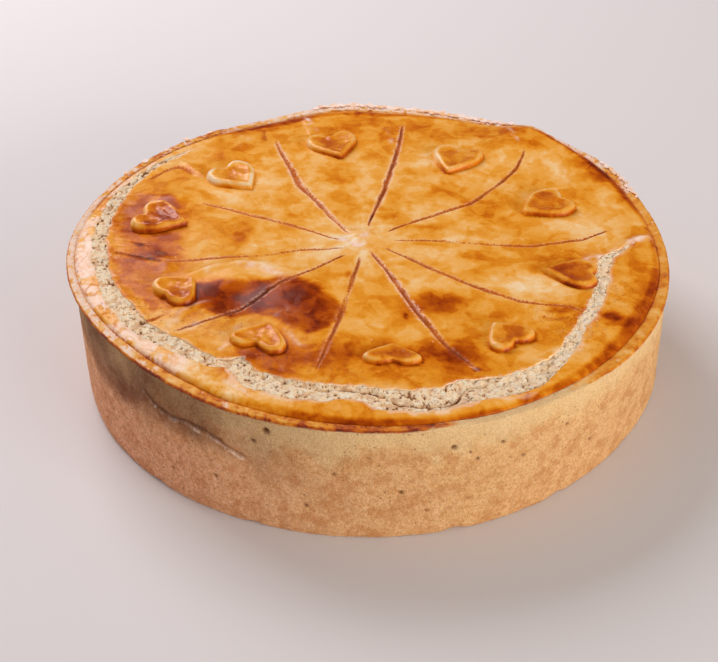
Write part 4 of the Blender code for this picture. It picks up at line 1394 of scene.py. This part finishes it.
def make_heart(number, row, material):
    outline = heart_places(row, HEART_SPOKES)
    thickness, top_brown, edge_brown = row[5] * MM, row[7], row[8]
    centre = np.array(row[:2]) * MM
    share = 1 - (1 - np.linspace(0.03, 1.0, HEART_RINGS)[:, None]) ** 1.6
    x, y = np.moveaxis(centre + (np.array(outline) - centre)[None] * share[..., None], -1, 0)
    inset, _ = to_polyline(x, y, outline + outline[:1])
    rise = np.sqrt(1 - (1 - np.clip(inset / HEART_ROUNDING, 0.0, 1.0)) ** 2)
    places = in_space(x, y, number * 0.1)
    inward = 1 - share
    uneven = 0.26 * layered_noise(places, 6, 3, 501) * rise
    sunk = 0.30 * smooth_step(inward, 0.06, 0.62)
    z = swollen_height(x, y) + thickness * (0.06 + rise * 0.94 + uneven - sunk)
    rings = in_space(x, y, z)
    foot = rings[-1:] - (0.0, 0.0, 0.06 * thickness + 0.5 * MM)
    ends = {"first": (*centre, z[0].mean()), "last": (*centre, foot[0, :, 2].mean())}
    heart = ring_mesh(f"pastry_heart_{number:02d}", np.concatenate([rings, foot]), **ends)
    close_up(heart)
    facing = facing_front(x - centre[0], y - centre[1])
    centred = smooth_step(inward + 0.12 * layered_noise(places, 5, 3, 521), 0.06, 0.32)
    browning = edge_brown + (top_brown - edge_brown) * centred
    # A painted contact shadow along the front edge, and a painted highlight on the back rim.
    browning = browning + 0.18 * layered_noise(places, 6, 4, 511) + 0.42 * facing * hump(inset, 0.45 * MM)
    browning = browning - 0.12 * (1 - facing) * hump(inset - 1.4 * MM, 1.2 * MM)
    set_masks(heart, (top_brown, 0.6), browning=np.vstack([browning, browning[-1:] + 0.2]))
    return finish_piece(heart, material, 60, "glazed_heart", f"heart_{number:02d}")


# ---------------------------------------------------------------- flakes at the rim

# Where broken flakes stand at the rim: first and last direction, how many, their length.
RIM_FLAKES = ((18, 33, 11, 3.2), (58, 104, 34, 4), (126, 156, 5, 2.6))
FLAKE_SIDES = 7
FLAKE_THICKNESS = 0.35 * MM
FLAKE_BEND = 40.0  # how much a flake curls, per metre
FLAKE_SEEDS, CORNER_SEED = range(701, 706), 707


def chance(cell, seed):
    """A repeatable value from -1 to 1 for one cell."""
    return float(hashed(np.array([cell]), seed)[0])


def flake_points(number, direction, length):
    """The upper and lower outline of one thin, tilted flake."""
    shift, turn, tilt, lean, wide = (chance((number, 0, 0), seed) for seed in FLAKE_SEEDS)
    distance = float(star_to(rim_radius, direction)) + (0.6 * shift - 1.1) * MM
    x, y = from_star(direction, distance)
    centre = Vector((float(x), float(y), float(rim_height(x, y)) - 0.2 * MM + 0.3 * MM * abs(lean)))
    tilted = Matrix.Rotation(math.radians(direction + 90 + 35 * turn), 4, "Z")
    tilted = tilted @ Matrix.Rotation(math.radians(-8 - 16 * tilt), 4, "X")
    tilted = tilted @ Matrix.Rotation(math.radians(8 * lean), 4, "Y")
    upper, lower = [], []
    for corner in range(FLAKE_SIDES):
        around = 2 * math.pi * corner / FLAKE_SIDES
        reach = 0.5 * (1 + 0.35 * chance((number, corner, 1), CORNER_SEED))
        along = length * MM * reach * math.cos(around)
        across = length * MM * reach * (0.55 + 0.2 * wide) * math.sin(around)
        bend = FLAKE_BEND * along * along
        for outline, side in ((upper, 0.5), (lower, -0.5)):
            outline.append(centre + tilted @ Vector((along, across, side * FLAKE_THICKNESS - bend)))
    return upper, lower


def make_flakes(material):
    points, faces = [], []
    number = 0
    for first, last, count, length in RIM_FLAKES:
        for place in range(count):
            number += 1
            start = len(points)
            upper, lower = flake_points(number, first + (last - first) * (place + 0.5) / count, length)
            points += upper + lower
            top = list(range(start, start + FLAKE_SIDES))
            under = [corner + FLAKE_SIDES for corner in top]
            faces += [tuple(top), tuple(reversed(under))]
            sides = zip(top, top[1:] + top[:1], under, under[1:] + under[:1])
            faces += [(a, c, d, b) for a, b, c, d in sides]
    flakes = new_object("rim_flakes", [tuple(point) for point in points], faces)
    return finish_piece(flakes, material, 40, "baked_crust")


# ---------------------------------------------------------------- stage

def make_floor():
    bpy.ops.mesh.primitive_plane_add(size=6.0, location=(0, 0, 0))
    floor = bpy.context.object
    floor.name = "floor"
    shader = Shader("pale_floor")
    floor.data.materials.append(shader.dress(colour=linear(222, 218, 216), roughness=0.75))


def area_light(name, place, size, power, colour, target=(0.0, 0.0, 0.03)):
    light = bpy.data.objects.new(name, bpy.data.lights.new(name, "AREA"))
    bpy.context.scene.collection.objects.link(light)
    light.data.shape = "RECTANGLE"
    light.data.size, light.data.size_y = size
    light.data.energy = power
    light.data.color = colour
    light.location = place
    light.rotation_euler = (Vector(target) - Vector(place)).to_track_quat("-Z", "Y").to_euler()


def make_lights():
    area_light("window", (-0.62, 0.86, 0.92), (0.8, 0.8), 15.0, (1.0, 0.93, 0.97))
    area_light("room", (1.1, -1.0, 0.42), (1.1, 0.6), 16.0, (1.0, 0.95, 0.90))
    world = bpy.data.worlds.new("surroundings")
    bpy.context.scene.world = world
    world.use_nodes = True
    tree = world.node_tree
    background = tree.nodes["Background"]
    background.inputs["Color"].default_value = (0.98, 0.94, 0.96, 1.0)
    toward = tree.nodes.new("ShaderNodeTexCoord").outputs["Generated"]
    parts = tree.nodes.new("ShaderNodeSeparateXYZ")
    tree.links.new(toward, parts.inputs[0])
    # The room is dimmer behind the pie.
    dimmer = tree.nodes.new("ShaderNodeMapRange")
    tree.links.new(parts.outputs["Y"], dimmer.inputs[0])
    for value, socket in zip((-0.1, 0.8, 0.42, 0.14), dimmer.inputs[1:]):
        socket.default_value = value
    tree.links.new(dimmer.outputs[0], background.inputs["Strength"])


def make_camera():
    pitch, yaw, roll = (math.radians(angle) for angle in (CAMERA_PITCH, CAMERA_YAW, CAMERA_ROLL))
    forward = Vector((math.sin(yaw) * math.cos(pitch), math.cos(yaw) * math.cos(pitch), -math.sin(pitch)))
    level_right = Vector((math.cos(yaw), -math.sin(yaw), 0))
    level_up = level_right.cross(forward)
    right = math.cos(roll) * level_right + math.sin(roll) * level_up
    up = math.cos(roll) * level_up - math.sin(roll) * level_right
    camera = bpy.data.objects.new("camera", bpy.data.cameras.new("camera"))
    bpy.context.scene.collection.objects.link(camera)
    turned = Matrix((right, up, -forward)).transposed().to_4x4()
    camera.matrix_world = Matrix.Translation(CAMERA_PLACE) @ turned
    camera.data.sensor_width = 36.0
    camera.data.lens = CAMERA_LENS
    camera.data.clip_start = 0.01
    bpy.context.scene.camera = camera


def main():
    make_camera()
    make_lights()
    make_floor()
    make_lid(lid_material())
    make_crumb(crumb_material())
    make_case(case_material())
    hearts = heart_material()
    for number, row in enumerate(HEARTS, start=1):
        make_heart(number, row, hearts)
    make_flakes(flake_material())
    bpy.context.scene.view_settings.view_transform = "Standard"


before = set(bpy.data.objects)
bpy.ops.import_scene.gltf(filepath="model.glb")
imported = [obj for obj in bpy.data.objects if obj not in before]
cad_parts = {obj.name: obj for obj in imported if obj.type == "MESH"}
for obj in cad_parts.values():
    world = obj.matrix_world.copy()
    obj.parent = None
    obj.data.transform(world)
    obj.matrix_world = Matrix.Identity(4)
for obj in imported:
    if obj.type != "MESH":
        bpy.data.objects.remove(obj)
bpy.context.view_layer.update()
main()
